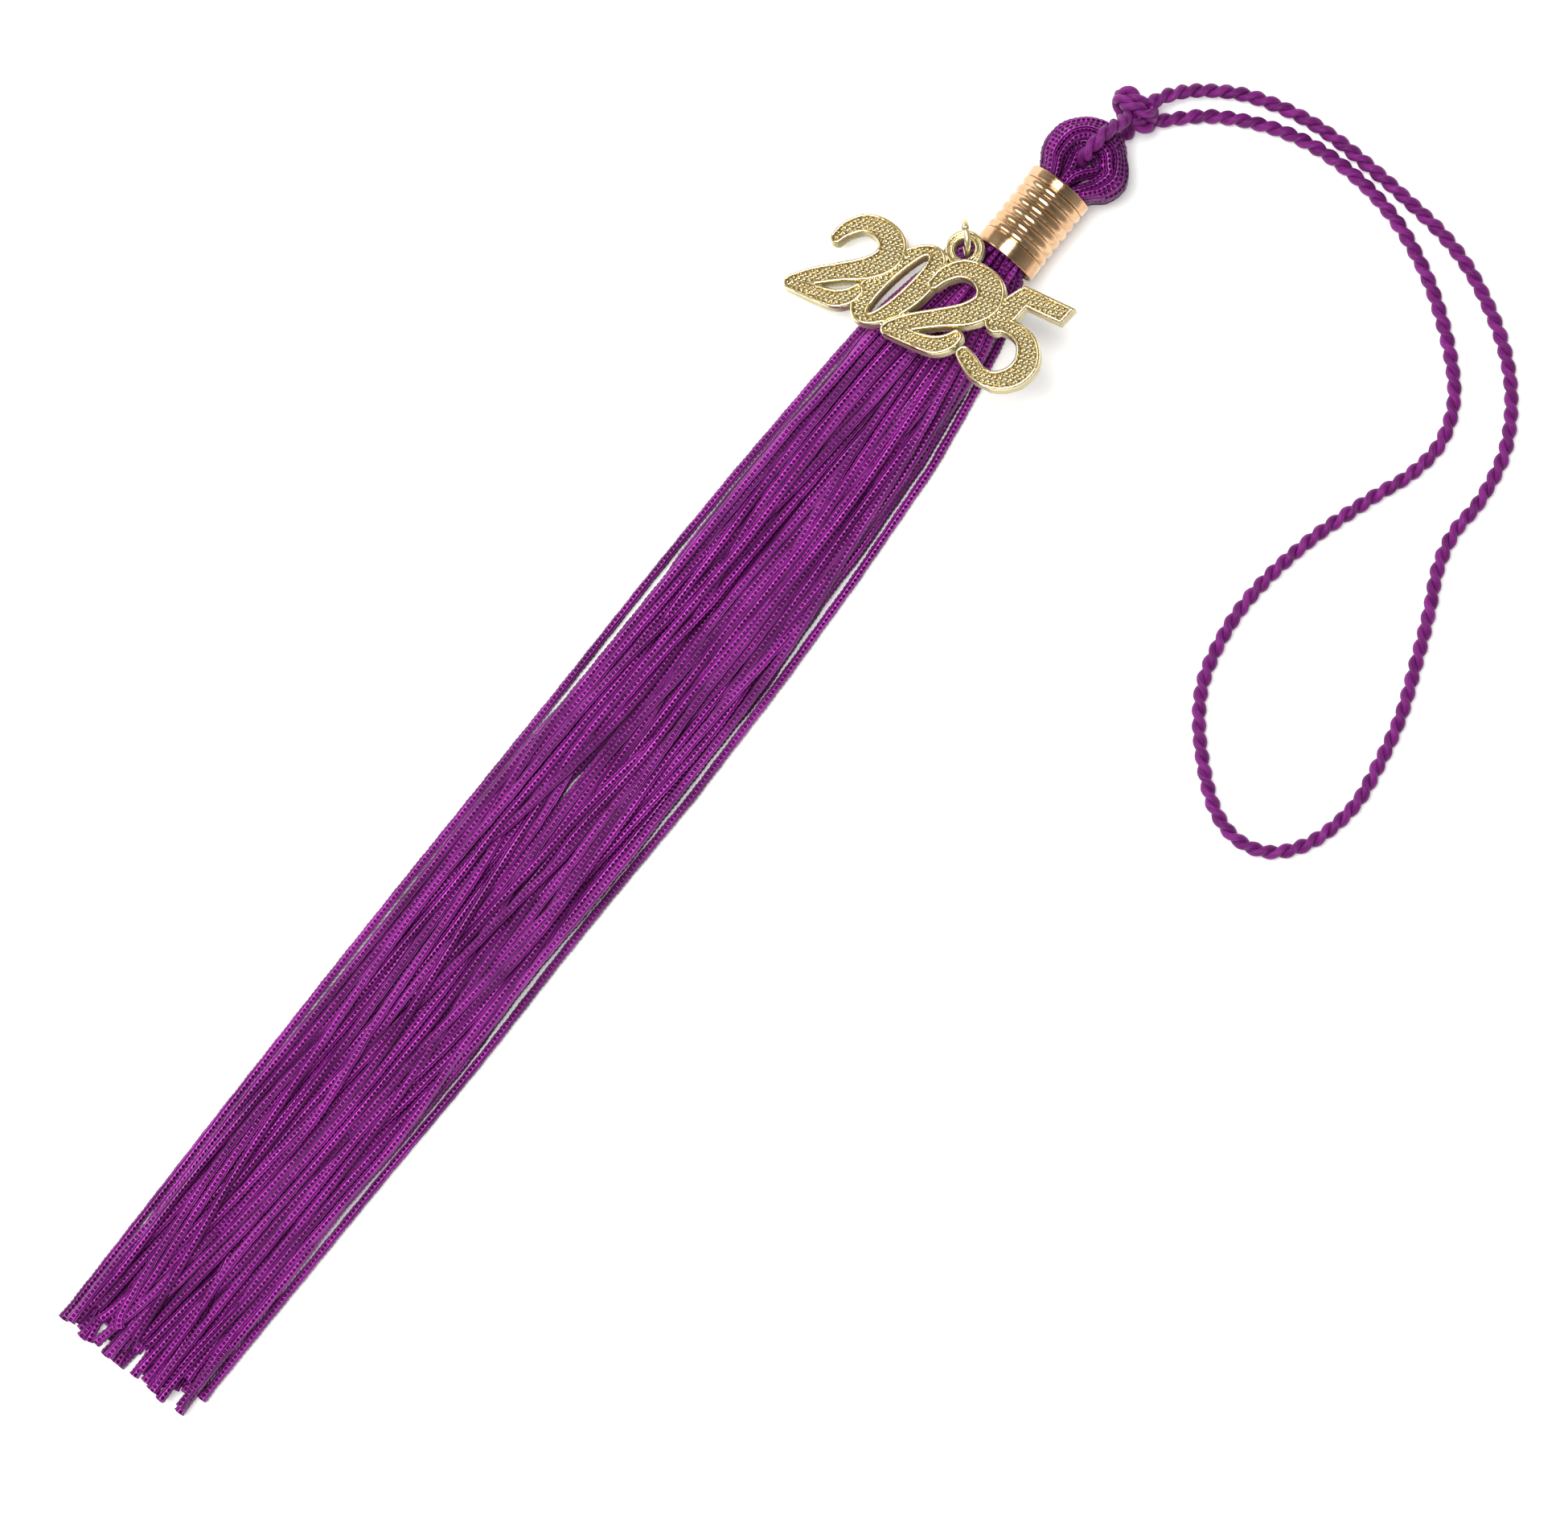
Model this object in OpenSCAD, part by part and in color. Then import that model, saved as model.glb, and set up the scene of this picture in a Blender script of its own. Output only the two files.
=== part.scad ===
// Graduation tassel, laid flat: a bundle of knitted strands folded over a twisted hanger cord,
// bound and held in a ribbed metal ferrule, with cast year numerals on a jump ring.
// +Z is up from the table, +Y points to the hanger and +X to the right seen from above.
// The origin is under the middle of the tassel's own footprint, without the free cord loop.

/* [Strands] */
// Length of the strands below the ferrule
skirt_len = 206; // [120:1:240]
// How far the cut ends stray either side of that length
tip_stagger = 2.2; // [0:0.1:5]
// Diameter of a strand where it lies loose
strand_d = 1.42; // [1.1:0.01:1.5]
// Diameter of a strand squeezed in the ferrule and in the folds
packed_d = 0.84; // [0.7:0.01:0.88]
// Distance between strands inside the ferrule
packed_pitch = 0.9; // [0.88:0.01:1]
// Distance between columns of strands in the skirt
column_pitch = 3.1; // [3:0.05:4]
// Height between rows of strands in the skirt
row_pitch = 0.8; // [0.78:0.01:1.2]
// Distance below the ferrule over which the skirt opens
spread_len = 18; // [14:1:30]

/* [Ferrule] */
// Length of the ferrule along the tassel
ferrule_len = 13.6; // [11:0.1:20]
// Thickness of the ferrule's wall at a groove
ferrule_wall = 0.22; // [0.2:0.02:0.6]
// Depth of the rolled grooves
groove_depth = 0.24; // [0.1:0.02:0.5]
// Number of rolled grooves
groove_count = 6; // [2:1:8]
// Plain length at the end next to the skirt
lower_lip = 2.4; // [1:0.1:4]
// Plain length at the end next to the folds
upper_lip = 1.5; // [1:0.1:4]

/* [Binding] */
// Diameter of the thread bound round the bundle
thread_d = 0.34; // [0.2:0.02:0.5]
// Number of turns of thread
thread_turns = 16; // [4:1:30]

/* [Hanger cord] */
// Diameter of the twisted cord
cord_d = 2.2; // [1.8:0.05:2.4]
// Radius of the eye of the folds that the cord passes through
eye_r = 1.5; // [1.45:0.05:2.5]
// Length from the ferrule to the middle of the eye
lobe_len = 4.6; // [3:0.1:8]
// Width of the overhand knot
knot_w = 7.6; // [6:0.1:9]
// Thickness of the overhand knot
knot_t = 6; // [5:0.1:7]

/* [Jump ring] */
// Outer diameter of the jump ring
ring_od = 5.9; // [5.7:0.1:7]
// Diameter of its wire
wire_d = 0.9; // [0.6:0.05:1]
// Opening of the split where the wire's ends meet, in degrees of the ring
ring_split = 5; // [2:1:10]

/* [Year charm] */
// Thickness of the cast numerals
charm_t = 2.4; // [1.6:0.1:2.6]
// Outer diameter of the eyelet
eyelet_od = 5.8; // [5:0.1:6]
// Diameter of the eyelet's hole
eyelet_id = 3; // [2.8:0.1:3.4]
// Thickness of the eyelet
eyelet_t = 1.6; // [1:0.1:1.8]
// How far the numerals slope up to the right, in degrees
charm_roll = 14.5; // [10:0.5:18]
// How far the numerals' feet lift, in degrees
charm_pitch = 5; // [0:1:8]
// Turn of the line of numerals from across the tassel, in degrees
charm_turn = 11.5; // [5:0.5:15]

/* [Hidden] */
// Strands in each pair of columns, from the middle of the bundle outwards
ROWS = [6, 8, 8, 6];
MAX_ROWS = max(ROWS);
COLUMNS = len(ROWS);
strand_count = 28;

STRAND_COLOUR = [0.48, 0.16, 0.50];
CORD_COLOUR = [0.42, 0.12, 0.44];
FERRULE_COLOUR = [0.80, 0.62, 0.40];
CHARM_COLOUR = [0.86, 0.77, 0.50];

// Sides of every swept tube
tube_sides = 8;
// Distances below the ferrule at which a strand has a ring of points
LEG_STEPS = [0, 1.2, 2.6, 5, 9, 15, 25, 45, 90];
// Shares of the lobe's length at which a strand has a ring of points
LOBE_STEPS = [0.3, 0.7];
// Angle between the rings round the fold
fold_step = 22.5;

// The bundle inside the ferrule
bundle_clear = 0.03;
bundle_r = norm([(COLUMNS - 0.5), (ROWS[COLUMNS - 1] - 1) / 2]) * packed_pitch + packed_d / 2;
thread_r = bundle_r + bundle_clear + thread_d / 2;
bore_r = thread_r + thread_d / 2 + bundle_clear;
ferrule_r = bore_r + ferrule_wall + groove_depth;
bundle_z = ferrule_r;

// The folds round the eye: strands sit in two staggered files for each column
fold_clear = 0.12;
fold_zigzag = 0.325;
fold_pitch = 4 * fold_zigzag;
fold_row_pitch = 0.74;
fold_z = cord_d + 2 * fold_clear + (MAX_ROWS - 1) / 2 * fold_row_pitch + packed_d / 2;
eye_y = ferrule_len + lobe_len;
fold_outer_r = eye_r + COLUMNS * fold_pitch;

// The skirt: each column is a zigzag of strands standing on the table
skirt_zigzag = column_pitch / 4;
drop_len = 10;

// The jump ring goes round the top strands of the outermost left column, which it pulls aside
held_rows = 2;
held_column = COLUMNS - 1;
pull_out = 2.4;
pull_up = 0.48;
pull_at = 3.2;
ring_r = (ring_od - wire_d) / 2;
ring_turn = 44;
RING_AT = [-(COLUMNS - 0.5) * packed_pitch - 2.95, -1.3, bundle_z + 2.8];

// The eyelet hangs on the ring's skirt side, above the strands that the ring holds
EYELET_AT = RING_AT + [1.0, -1.6, 1.25];
// Distance from the eyelet's middle to the tops of the numerals
numeral_drop = 1.4;

// The knot lies across the end of the tassel, just clear of the folds and of the table
knot_gap = 1.3;
knot_lift = 0.4;
KNOT_AT = [1.3, eye_y + fold_outer_r + knot_gap + knot_t / 2, knot_t / 2 + knot_lift];

// Middle of the footprint, from the tips to the knot and from the charm to the skirt's edge
low_y = -skirt_len - tip_stagger;
high_y = KNOT_AT[1] + knot_t / 2;
skirt_right = (COLUMNS - 0.5) * column_pitch + skirt_zigzag + strand_d / 2;
// Corners of the line of numerals, from the eyelet's middle
CHARM_LOW_LEFT = [-21.65, -16.5];
CHARM_HIGH_RIGHT = [18.6, -3.9];
function charm_x(corner) = EYELET_AT[0]
    + corner[0] * cos(charm_roll) * cos(charm_turn) - corner[1] * sin(charm_turn);
MIDDLE = [
    (charm_x(CHARM_LOW_LEFT) + max(skirt_right, charm_x(CHARM_HIGH_RIGHT))) / 2,
    (low_y + high_y) / 2,
    0
];

// Free loop of the hanger cord, from the knot round and back, on the table. Hand-chosen.
LOOP_ROUTE = [
    [2.6, 31.2, 4.6], [3.6, 33.8, 4.0], [6.6, 37.6, 2.4], [12.7, 41.8, 1.2], [20, 44.2, 1.1],
    [26.8, 45, 1.1], [33, 45, 1.1], [40.2, 44.6, 1.1], [48.6, 43.8, 1.1], [56.7, 41.4, 1.1],
    [64.7, 37.1, 1.1], [71, 31.6, 1.1], [75.4, 24.5, 1.1], [77.1, 16.7, 1.1], [77, 10.5, 1.1],
    [78.4, 5, 1.1], [81.4, -1, 1.1], [84.6, -8, 1.1], [87.7, -15.6, 1.1], [89.6, -23, 1.1],
    [90.6, -30.5, 1.1], [89.2, -38, 1.1], [85.4, -43.2, 1.1], [80.4, -45, 1.1], [75.3, -43.8, 1.1],
    [70, -40, 1.1], [65, -35, 1.1], [61.4, -29, 1.1], [59.6, -21, 1.1], [59.6, -12, 1.1],
    [61.4, -2.5, 1.1], [64.2, 6.5, 1.1], [66.6, 13, 1.1], [67.2, 19.5, 1.1], [65, 25.5, 1.1],
    [60.1, 30.7, 1.1], [53.6, 35.6, 1.1], [46.8, 39.2, 1.1], [41, 41.3, 1.1], [34, 42.4, 1.1],
    [27, 42.4, 1.1], [20.4, 41, 1.1], [14.6, 38.6, 1.1], [10.2, 35.8, 1.1], [7, 32.8, 1.3],
    [4.6, 30.2, 1.7]
];

// Neck of the hanger cord: over the folds, down through the eye and back under them. Hand-chosen,
// measured from the eye's middle in Y and from the table in Z.
NECK_ROUTE = [
    [1.4, 9.8, 5.4], [1.2, 8.6, 7.0], [0.8, 7.0, 8.9], [0.4, 5.2, 10.2], [0.1, 3.2, 10.6],
    [0, 1.6, 10.3], [0, 0.5, 9.2], [0, 0, 7.6], [0, 0, 5.6], [0, 0, 4.0], [0, 0.5, 2.4],
    [0, 1.6, 1.4], [0.1, 3.4, 1.1], [0.4, 5.6, 1.1], [0.9, 7.8, 1.4], [1.3, 9.6, 2.2]
];

// ---- Small functions ----

function unit(v) = v / norm(v);
function mix(a, b, t) = a + (b - a) * t;
function smooth(t) = t * t * (3 - 2 * t);
function is_odd(n) = n - 2 * floor(n / 2);
function total(list, count) = count == 0 ? 0 : list[count - 1] + total(list, count - 1);

// Point at share t of the curve from b to c, with a before b and d after c
function curve_point(a, b, c, d, t) =
    0.5 * (2 * b + (c - a) * t + (2 * a - 5 * b + 4 * c - d) * t * t
    + (3 * b - a - 3 * c + d) * t * t * t);

// Smooth line through points, with steps stretches for each span
function curve(points, steps) = let (last = len(points) - 1)
    [for (i = [0 : last - 1]) for (s = [0 : steps - 1])
        curve_point(points[max(i - 1, 0)], points[i], points[i + 1],
            points[min(i + 2, last)], s / steps),
     points[last]];

// Faces of a closed tube of rings with tube_sides points each
function tube_faces(rings) = concat(
    [[for (s = [0 : tube_sides - 1]) tube_sides - 1 - s]],
    [for (i = [0 : rings - 2]) for (s = [0 : tube_sides - 1])
        let (a = i * tube_sides + s, b = i * tube_sides + (s + 1) % tube_sides)
        each [[a, b, b + tube_sides], [a, b + tube_sides, a + tube_sides]]],
    [[for (s = [0 : tube_sides - 1]) (rings - 1) * tube_sides + s]]
);

// ---- Strands ----

// Column and row of strand number i, counted from nought
function column_of(i, c = 0) = i < total(ROWS, c + 1) ? c : column_of(i, c + 1);
function row_of(i) = i - total(ROWS, column_of(i));
// Height of a row in the packed bundle, from its middle, in rows
function level(c, row) = row + (MAX_ROWS - ROWS[c]) / 2 - (MAX_ROWS - 1) / 2;
function zigzag(c, row) = is_odd(row + (MAX_ROWS - ROWS[c]) / 2) == 0 ? -1 : 1;
function is_held(c, row, side) = side < 0 && c == held_column && row >= ROWS[c] - held_rows;

// Sideways and upward pull of the jump ring on a strand it holds, below the ferrule
function pull(below) = below / pull_at * exp(1 - below / pull_at);

// Centre of a strand below the ferrule. side is 1 for the right leg and -1 for the left.
function leg_point(c, row, side, below) = let (
    open = 1 - exp(-below / spread_len),
    drop = 1 - exp(-below / drop_len),
    held = is_held(c, row, side) ? pull(below) : 0,
    packed_x = (c + 0.5) * packed_pitch,
    loose_x = (c + 0.5) * column_pitch + zigzag(c, row) * skirt_zigzag,
    packed_z = bundle_z + level(c, row) * packed_pitch,
    loose_z = strand_d / 2 + row * row_pitch
) [
    side * (mix(packed_x, loose_x, open) + pull_out * held),
    -below,
    mix(packed_z, loose_z, drop) + pull_up * held
];

function leg_r(below) = mix(packed_d, strand_d, 1 - exp(-below / spread_len)) / 2;

// Length of one leg: the cut ends stray by a fixed pattern
function leg_len(i, side) = skirt_len + tip_stagger * sin(137 * i + 70 * side);

// A station is [centre, angle of its outward direction, radius]
function leg_stations(i, side) = [for (below = concat(LEG_STEPS, leg_len(i, side)))
    [leg_point(column_of(i), row_of(i), side, below), side > 0 ? 0 : 180, leg_r(below)]];

function fold_radius(c, row) = eye_r + (c + 0.5) * fold_pitch + zigzag(c, row) * fold_zigzag;

function lobe_stations(i, side) = let (c = column_of(i), row = row_of(i))
    [for (t = LOBE_STEPS) [
        [side * mix((c + 0.5) * packed_pitch, fold_radius(c, row), smooth(t)),
         ferrule_len + t * lobe_len,
         mix(bundle_z + level(c, row) * packed_pitch, fold_z + level(c, row) * fold_row_pitch,
            smooth(t))],
        side > 0 ? 0 : 180, packed_d / 2]];

function fold_stations(i) = let (c = column_of(i), row = row_of(i), r = fold_radius(c, row))
    [for (a = [0 : fold_step : 180]) [
        [r * cos(a), eye_y + r * sin(a), fold_z + level(c, row) * fold_row_pitch],
        a, packed_d / 2]];

function ferrule_station(i, side) = [
    [side * (column_of(i) + 0.5) * packed_pitch, ferrule_len,
     bundle_z + level(column_of(i), row_of(i)) * packed_pitch],
    side > 0 ? 0 : 180, packed_d / 2];

function backwards(list) = [for (i = [len(list) - 1 : -1 : 0]) list[i]];

function strand_stations(i) = concat(
    backwards(leg_stations(i, 1)),
    [ferrule_station(i, 1)],
    lobe_stations(i, 1),
    fold_stations(i),
    backwards(lobe_stations(i, -1)),
    [ferrule_station(i, -1)],
    leg_stations(i, -1)
);

// One folded strand. Each ring stands upright across the strand's own direction.
module strand(i) {
    stations = strand_stations(i);
    points = [for (st = stations) for (s = [0 : tube_sides - 1])
        let (a = (s + 0.5) * 360 / tube_sides)
        st[0] + st[2] * [cos(a) * cos(st[1]), cos(a) * sin(st[1]), sin(a)]];
    color(STRAND_COLOUR)
        translate(-MIDDLE)
            polyhedron(points, tube_faces(len(stations)), convexity = 10);
}

// ---- Ferrule and binding ----

groove_pitch = (ferrule_len - lower_lip - upper_lip) / groove_count;
// Share of a groove's pitch on each side of its bottom that is rounded
GROOVE_SHAPE = [[0, 0], [0.18, 1], [0.5, 0.75], [0.82, 1]];

// Outer outline of the ferrule as [radius, distance from the skirt end]
function ferrule_outline() = concat(
    [[ferrule_r - groove_depth / 2, 0], [ferrule_r, groove_depth / 2]],
    [for (g = [0 : groove_count - 1]) for (s = GROOVE_SHAPE)
        [ferrule_r - groove_depth * (1 - s[1]), lower_lip + (g + s[0]) * groove_pitch]],
    [[ferrule_r - groove_depth, ferrule_len - upper_lip],
     [ferrule_r, ferrule_len - upper_lip + groove_depth],
     [ferrule_r, ferrule_len - groove_depth / 2],
     [ferrule_r - groove_depth / 2, ferrule_len]]
);

module ferrule() {
    color(FERRULE_COLOUR)
        translate([0, 0, bundle_z] - MIDDLE)
            rotate([-90, 0, 0])
                rotate_extrude($fn = 96)
                    polygon(concat([[bore_r, 0]], ferrule_outline(), [[bore_r, ferrule_len]]));
}

// Turns of thread side by side, wound tight enough to bed into one another
module binding_thread() {
    turn_pitch = thread_d * 0.9;
    first = (ferrule_len - (thread_turns - 1) * turn_pitch) / 2;
    color(STRAND_COLOUR)
        translate([0, 0, bundle_z] - MIDDLE)
            rotate([-90, 0, 0])
                rotate_extrude($fn = 96)
                    for (t = [0 : thread_turns - 1])
                        translate([thread_r, first + t * turn_pitch])
                            circle(d = thread_d, $fn = 16);
}

// ---- Hanger cord ----

// A round tube along a route. across is any direction that the route never runs along.
module cord(route, steps, across) {
    line = curve(route, steps);
    last = len(line) - 1;
    points = [for (i = [0 : last])
        let (
            along = unit(line[min(i + 1, last)] - line[max(i - 1, 0)]),
            right = unit(cross(along, across)),
            up = cross(right, along)
        )
        for (s = [0 : tube_sides - 1])
            let (a = (s + 0.5) * 360 / tube_sides)
            line[i] + cord_d / 2 * (right * cos(a) + up * sin(a))];
    polyhedron(points, tube_faces(len(line)), convexity = 10);
}

module hanger_neck() {
    color(CORD_COLOUR)
        translate([0, eye_y, 0] - MIDDLE)
            cord(NECK_ROUTE, 2, [1, 0, 0]);
}

// The overhand knot as a turned barrel with round shoulders, as wide as the wraps of cord
module hanger_knot() {
    shoulder_r = knot_t / 2 - cord_d / 2;
    shoulder_y = knot_w / 2 - cord_d / 2;
    color(CORD_COLOUR)
        translate(KNOT_AT - MIDDLE)
            rotate([0, 90, 0])
                rotate_extrude($fn = 48) {
                    translate([0, -knot_w / 2])
                        square([shoulder_r, knot_w]);
                    translate([0, -shoulder_y])
                        square([knot_t / 2, 2 * shoulder_y]);
                    for (end = [-1, 1])
                        translate([shoulder_r, end * shoulder_y])
                            circle(d = cord_d, $fn = 24);
                }
}

module hanger_loop() {
    color(CORD_COLOUR)
        translate(-MIDDLE)
            cord(LOOP_ROUTE, 1, [0, 0, 1]);
}

// ---- Jump ring and charm ----

// The ring stands on edge, turned a little from the tassel's length
module jump_ring() {
    color(CHARM_COLOUR)
        translate(RING_AT - MIDDLE)
            rotate([0, 0, ring_turn])
                rotate([0, 90, 0])
                    rotate([0, 0, 160])
                        rotate_extrude(angle = 360 - ring_split, $fn = 64)
                            translate([ring_r, 0])
                                circle(d = wire_d, $fn = 24);
}

// Numerals are strokes of varying width: each point is [across, up, half the stroke's width],
// across from the eyelet's middle and up from the line of the numerals' tops.
TWO_HOOK = [
    [-17.9, -5.2, 0.75], [-17.0, -3.2, 1.05], [-15.0, -1.4, 1.25], [-12.3, -1.2, 1.5],
    [-10.0, -2.4, 1.9], [-9.5, -4.7, 1.9], [-11.3, -7.2, 1.65], [-14.8, -9.5, 1.3],
    [-18.2, -11.8, 1.2], [-20.6, -13.7, 0.9]
];
TWO_FOOT = [
    [-20.8, -14.1, 0.95], [-18.8, -14.0, 1.0], [-16.2, -13.9, 1.05], [-13.7, -13.5, 1.2],
    [-12.0, -12.3, 1.1], [-11.2, -10.9, 0.8]
];
FIVE_STEM = [[11.3, -1.4, 1.2], [10.4, -3.8, 1.55], [9.5, -6.5, 1.5]];
FIVE_BOWL = [
    [9.8, -6.6, 0.95], [12.4, -6.35, 1.05], [14.9, -7.3, 1.35], [16.3, -9.8, 1.6],
    [15.6, -12.6, 1.5], [13.2, -14.4, 1.2], [10.6, -14.4, 1.1], [8.6, -13.4, 1.1],
    [7.4, -12.7, 0.95]
];
FIVE_FLAG = [[10.6, 0], [18.6, 0], [17.9, -2.5], [10.6, -2.5]];
TWO_STEP = 16.4;
NOUGHT_AT = [-6.2, -7.6];
NOUGHT_HALF = [4.4, 7.4];
NOUGHT_SLOT = [1.25, 5.8];
italic = 19;
stroke_steps = 4;

// Points round the end of a stroke, from its left edge to its right as it runs
function round_end(tip, along) = [for (a = [60 : -30 : -60])
    [tip[0], tip[1]] + tip[2] * (along * cos(a) + [-along[1], along[0]] * sin(a))];

// A stroke through points that each carry their own half width, with round ends
module stroke(points) {
    line = curve(points, stroke_steps);
    last = len(line) - 1;
    along = [for (i = [0 : last])
        let (a = line[max(i - 1, 0)], b = line[min(i + 1, last)])
        unit([b[0] - a[0], b[1] - a[1]])];
    function edge(i, side) = [line[i][0], line[i][1]]
        + side * line[i][2] * [-along[i][1], along[i][0]];
    polygon(concat(
        [for (i = [0 : last]) edge(i, 1)],
        round_end(line[last], along[last]),
        [for (i = [last : -1 : 0]) edge(i, -1)],
        round_end(line[0], -along[0])
    ));
}

// An oval leaning with the italic slant
module slanted_oval(half) {
    polygon([for (a = [0 : 10 : 350])
        [half[0] * cos(a) + half[1] * sin(a) * tan(italic), half[1] * sin(a)]]);
}

module numeral_two() {
    stroke(TWO_HOOK);
    stroke(TWO_FOOT);
}

module numeral_nought() {
    translate(NOUGHT_AT)
        difference() {
            slanted_oval(NOUGHT_HALF);
            slanted_oval(NOUGHT_SLOT);
        }
}

module numeral_five() {
    stroke(FIVE_STEM);
    stroke(FIVE_BOWL);
    polygon(FIVE_FLAG);
}

// The casting: the numerals and the flat eyelet that overlaps their tops
module year_charm() {
    color(CHARM_COLOUR)
        translate(EYELET_AT - MIDDLE)
            rotate([0, 0, charm_turn])
                rotate([-charm_pitch, -charm_roll, 0]) {
                    translate([0, -numeral_drop, -charm_t / 2])
                        linear_extrude(charm_t) {
                            numeral_two();
                            numeral_nought();
                            translate([TWO_STEP, 0])
                                numeral_two();
                            numeral_five();
                        }
                    translate([0, 0, -eyelet_t / 2])
                        difference() {
                            cylinder(d = eyelet_od, h = eyelet_t, $fn = 64);
                            translate([0, 0, -eyelet_t / 2])
                                cylinder(d = eyelet_id, h = 2 * eyelet_t, $fn = 64);
                        }
                }
}

// ---- Nodes ----

for (i = [0 : strand_count - 1])
    strand(i);
ferrule();
binding_thread();
hanger_neck();
hanger_knot();
hanger_loop();
jump_ring();
year_charm();
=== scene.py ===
import math
import bpy
import numpy as np
from mathutils import Euler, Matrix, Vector


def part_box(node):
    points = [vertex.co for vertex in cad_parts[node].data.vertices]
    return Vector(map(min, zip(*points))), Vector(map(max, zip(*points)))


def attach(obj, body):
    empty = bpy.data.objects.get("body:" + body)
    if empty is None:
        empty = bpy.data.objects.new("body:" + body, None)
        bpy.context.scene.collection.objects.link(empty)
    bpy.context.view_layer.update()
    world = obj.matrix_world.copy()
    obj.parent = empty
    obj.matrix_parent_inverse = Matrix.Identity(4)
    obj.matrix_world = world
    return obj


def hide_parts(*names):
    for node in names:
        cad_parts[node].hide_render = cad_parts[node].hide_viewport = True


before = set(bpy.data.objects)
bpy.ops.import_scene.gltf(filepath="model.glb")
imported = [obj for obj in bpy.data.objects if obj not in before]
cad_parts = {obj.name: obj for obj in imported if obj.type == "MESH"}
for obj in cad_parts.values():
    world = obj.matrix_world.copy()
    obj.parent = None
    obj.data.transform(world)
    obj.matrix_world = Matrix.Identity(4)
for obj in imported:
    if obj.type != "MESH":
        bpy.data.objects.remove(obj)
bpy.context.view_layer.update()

# ---- Studio ----
# The tassel lies on a white sweep and is seen from straight above, turned clockwise by its lean.
# Every place is measured in millimetres from the middle of the ferrule's skirt end, on the table,
# with Y towards the hanger cord and Z up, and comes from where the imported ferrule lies.
MM = 0.001
ferrule_low, ferrule_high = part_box("ferrule")
MOUTH = np.array([(ferrule_low.x + ferrule_high.x) / 2, ferrule_low.y, 0.0])
LEAN = math.radians(38.5)
VIEW_MIDDLE = (21.0, -78.1)
CAMERA_HEIGHT = 600
LENS = 93.1


def placed(points):
    """Points in millimetres from the mouth of the ferrule, as metres in the shared frame."""
    return MOUTH + np.asarray(points, float) * MM


camera = bpy.data.objects.new("camera", bpy.data.cameras.new("camera"))
camera.data.lens = LENS
camera.data.clip_start = 0.01
camera.location = placed((*VIEW_MIDDLE, CAMERA_HEIGHT))
camera.rotation_euler = (0, 0, LEAN)
bpy.context.scene.collection.objects.link(camera)
bpy.context.scene.camera = camera
bpy.context.scene.view_settings.view_transform = "Standard"


def softbox(name, right, up, height, width, depth, watts, colour):
    """A soft lamp placed to the right of and above the middle of the view, aimed at that middle."""
    lamp = bpy.data.lights.new(name, "AREA")
    lamp.shape = "RECTANGLE"
    lamp.size = width
    lamp.size_y = depth
    lamp.energy = watts
    lamp.color = colour
    holder = bpy.data.objects.new(name, lamp)
    aim = Vector(placed((*VIEW_MIDDLE, 0)))
    holder.location = aim + Vector((
        right * math.cos(LEAN) - up * math.sin(LEAN),
        right * math.sin(LEAN) + up * math.cos(LEAN),
        height,
    ))
    holder.rotation_euler = (aim - holder.location).to_track_quat("-Z", "Y").to_euler()
    bpy.context.scene.collection.objects.link(holder)


softbox(
    "lamp_overhead", right=-0.16, up=0.10, height=0.78, width=0.46, depth=0.40, watts=7.2,
    colour=(1.0, 0.985, 0.96),
)
softbox(
    "lamp_left", right=-1.00, up=0.55, height=0.65, width=0.60, depth=0.60, watts=4.0,
    colour=(1.0, 0.985, 0.97),
)


def calc(tree, operation, *values):
    """One Math node: numbers or sockets go in and its answer comes out."""
    node = tree.nodes.new("ShaderNodeMath")
    node.operation = operation
    for socket, value in zip(node.inputs, values):
        if isinstance(value, (int, float)):
            socket.default_value = value
        else:
            tree.links.new(value, socket)
    return node.outputs[0]


def between(tree, amount, low, high):
    """A colour between two others, each a socket or three numbers."""
    node = tree.nodes.new("ShaderNodeMix")
    node.data_type = "RGBA"
    tree.links.new(amount, node.inputs["Factor"])
    for name, colour in (("A", low), ("B", high)):
        socket = next(s for s in node.inputs if s.name == name and s.type == "RGBA")
        if isinstance(colour, tuple):
            socket.default_value = (*colour, 1)
        else:
            tree.links.new(colour, socket)
    return next(s for s in node.outputs if s.type == "RGBA")


TENT_LOW_COLOUR = (0.62, 0.61, 0.60)
TENT_HIGH_COLOUR = (0.12, 0.118, 0.115)
TENT_BLEND = 0.2
TENT_STRENGTH = 0.85
world = bpy.data.worlds.new("light_tent")
world.use_nodes = True
bpy.context.scene.world = world
tent = world.node_tree
tent_place = tent.nodes.new("ShaderNodeTexCoord")
tent_split = tent.nodes.new("ShaderNodeSeparateXYZ")
tent.links.new(tent_place.outputs["Generated"], tent_split.inputs[0])
tent_rise = calc(tent, "SMOOTH_MAX", tent_split.outputs["Z"], 0.0, TENT_BLEND)
tent_colour = between(tent, tent_rise, TENT_LOW_COLOUR, TENT_HIGH_COLOUR)
tent.links.new(tent_colour, tent.nodes["Background"].inputs["Color"])
tent.nodes["Background"].inputs["Strength"].default_value = TENT_STRENGTH


def new_finish(name, **settings):
    """A material with one Principled shader. Settings are that shader's own sockets."""
    finish = bpy.data.materials.new(name)
    finish.use_nodes = True
    shader = finish.node_tree.nodes["Principled BSDF"]
    for setting, value in settings.items():
        shader.inputs[setting.replace("_", " ")].default_value = value
    return finish, finish.node_tree, shader


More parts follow.
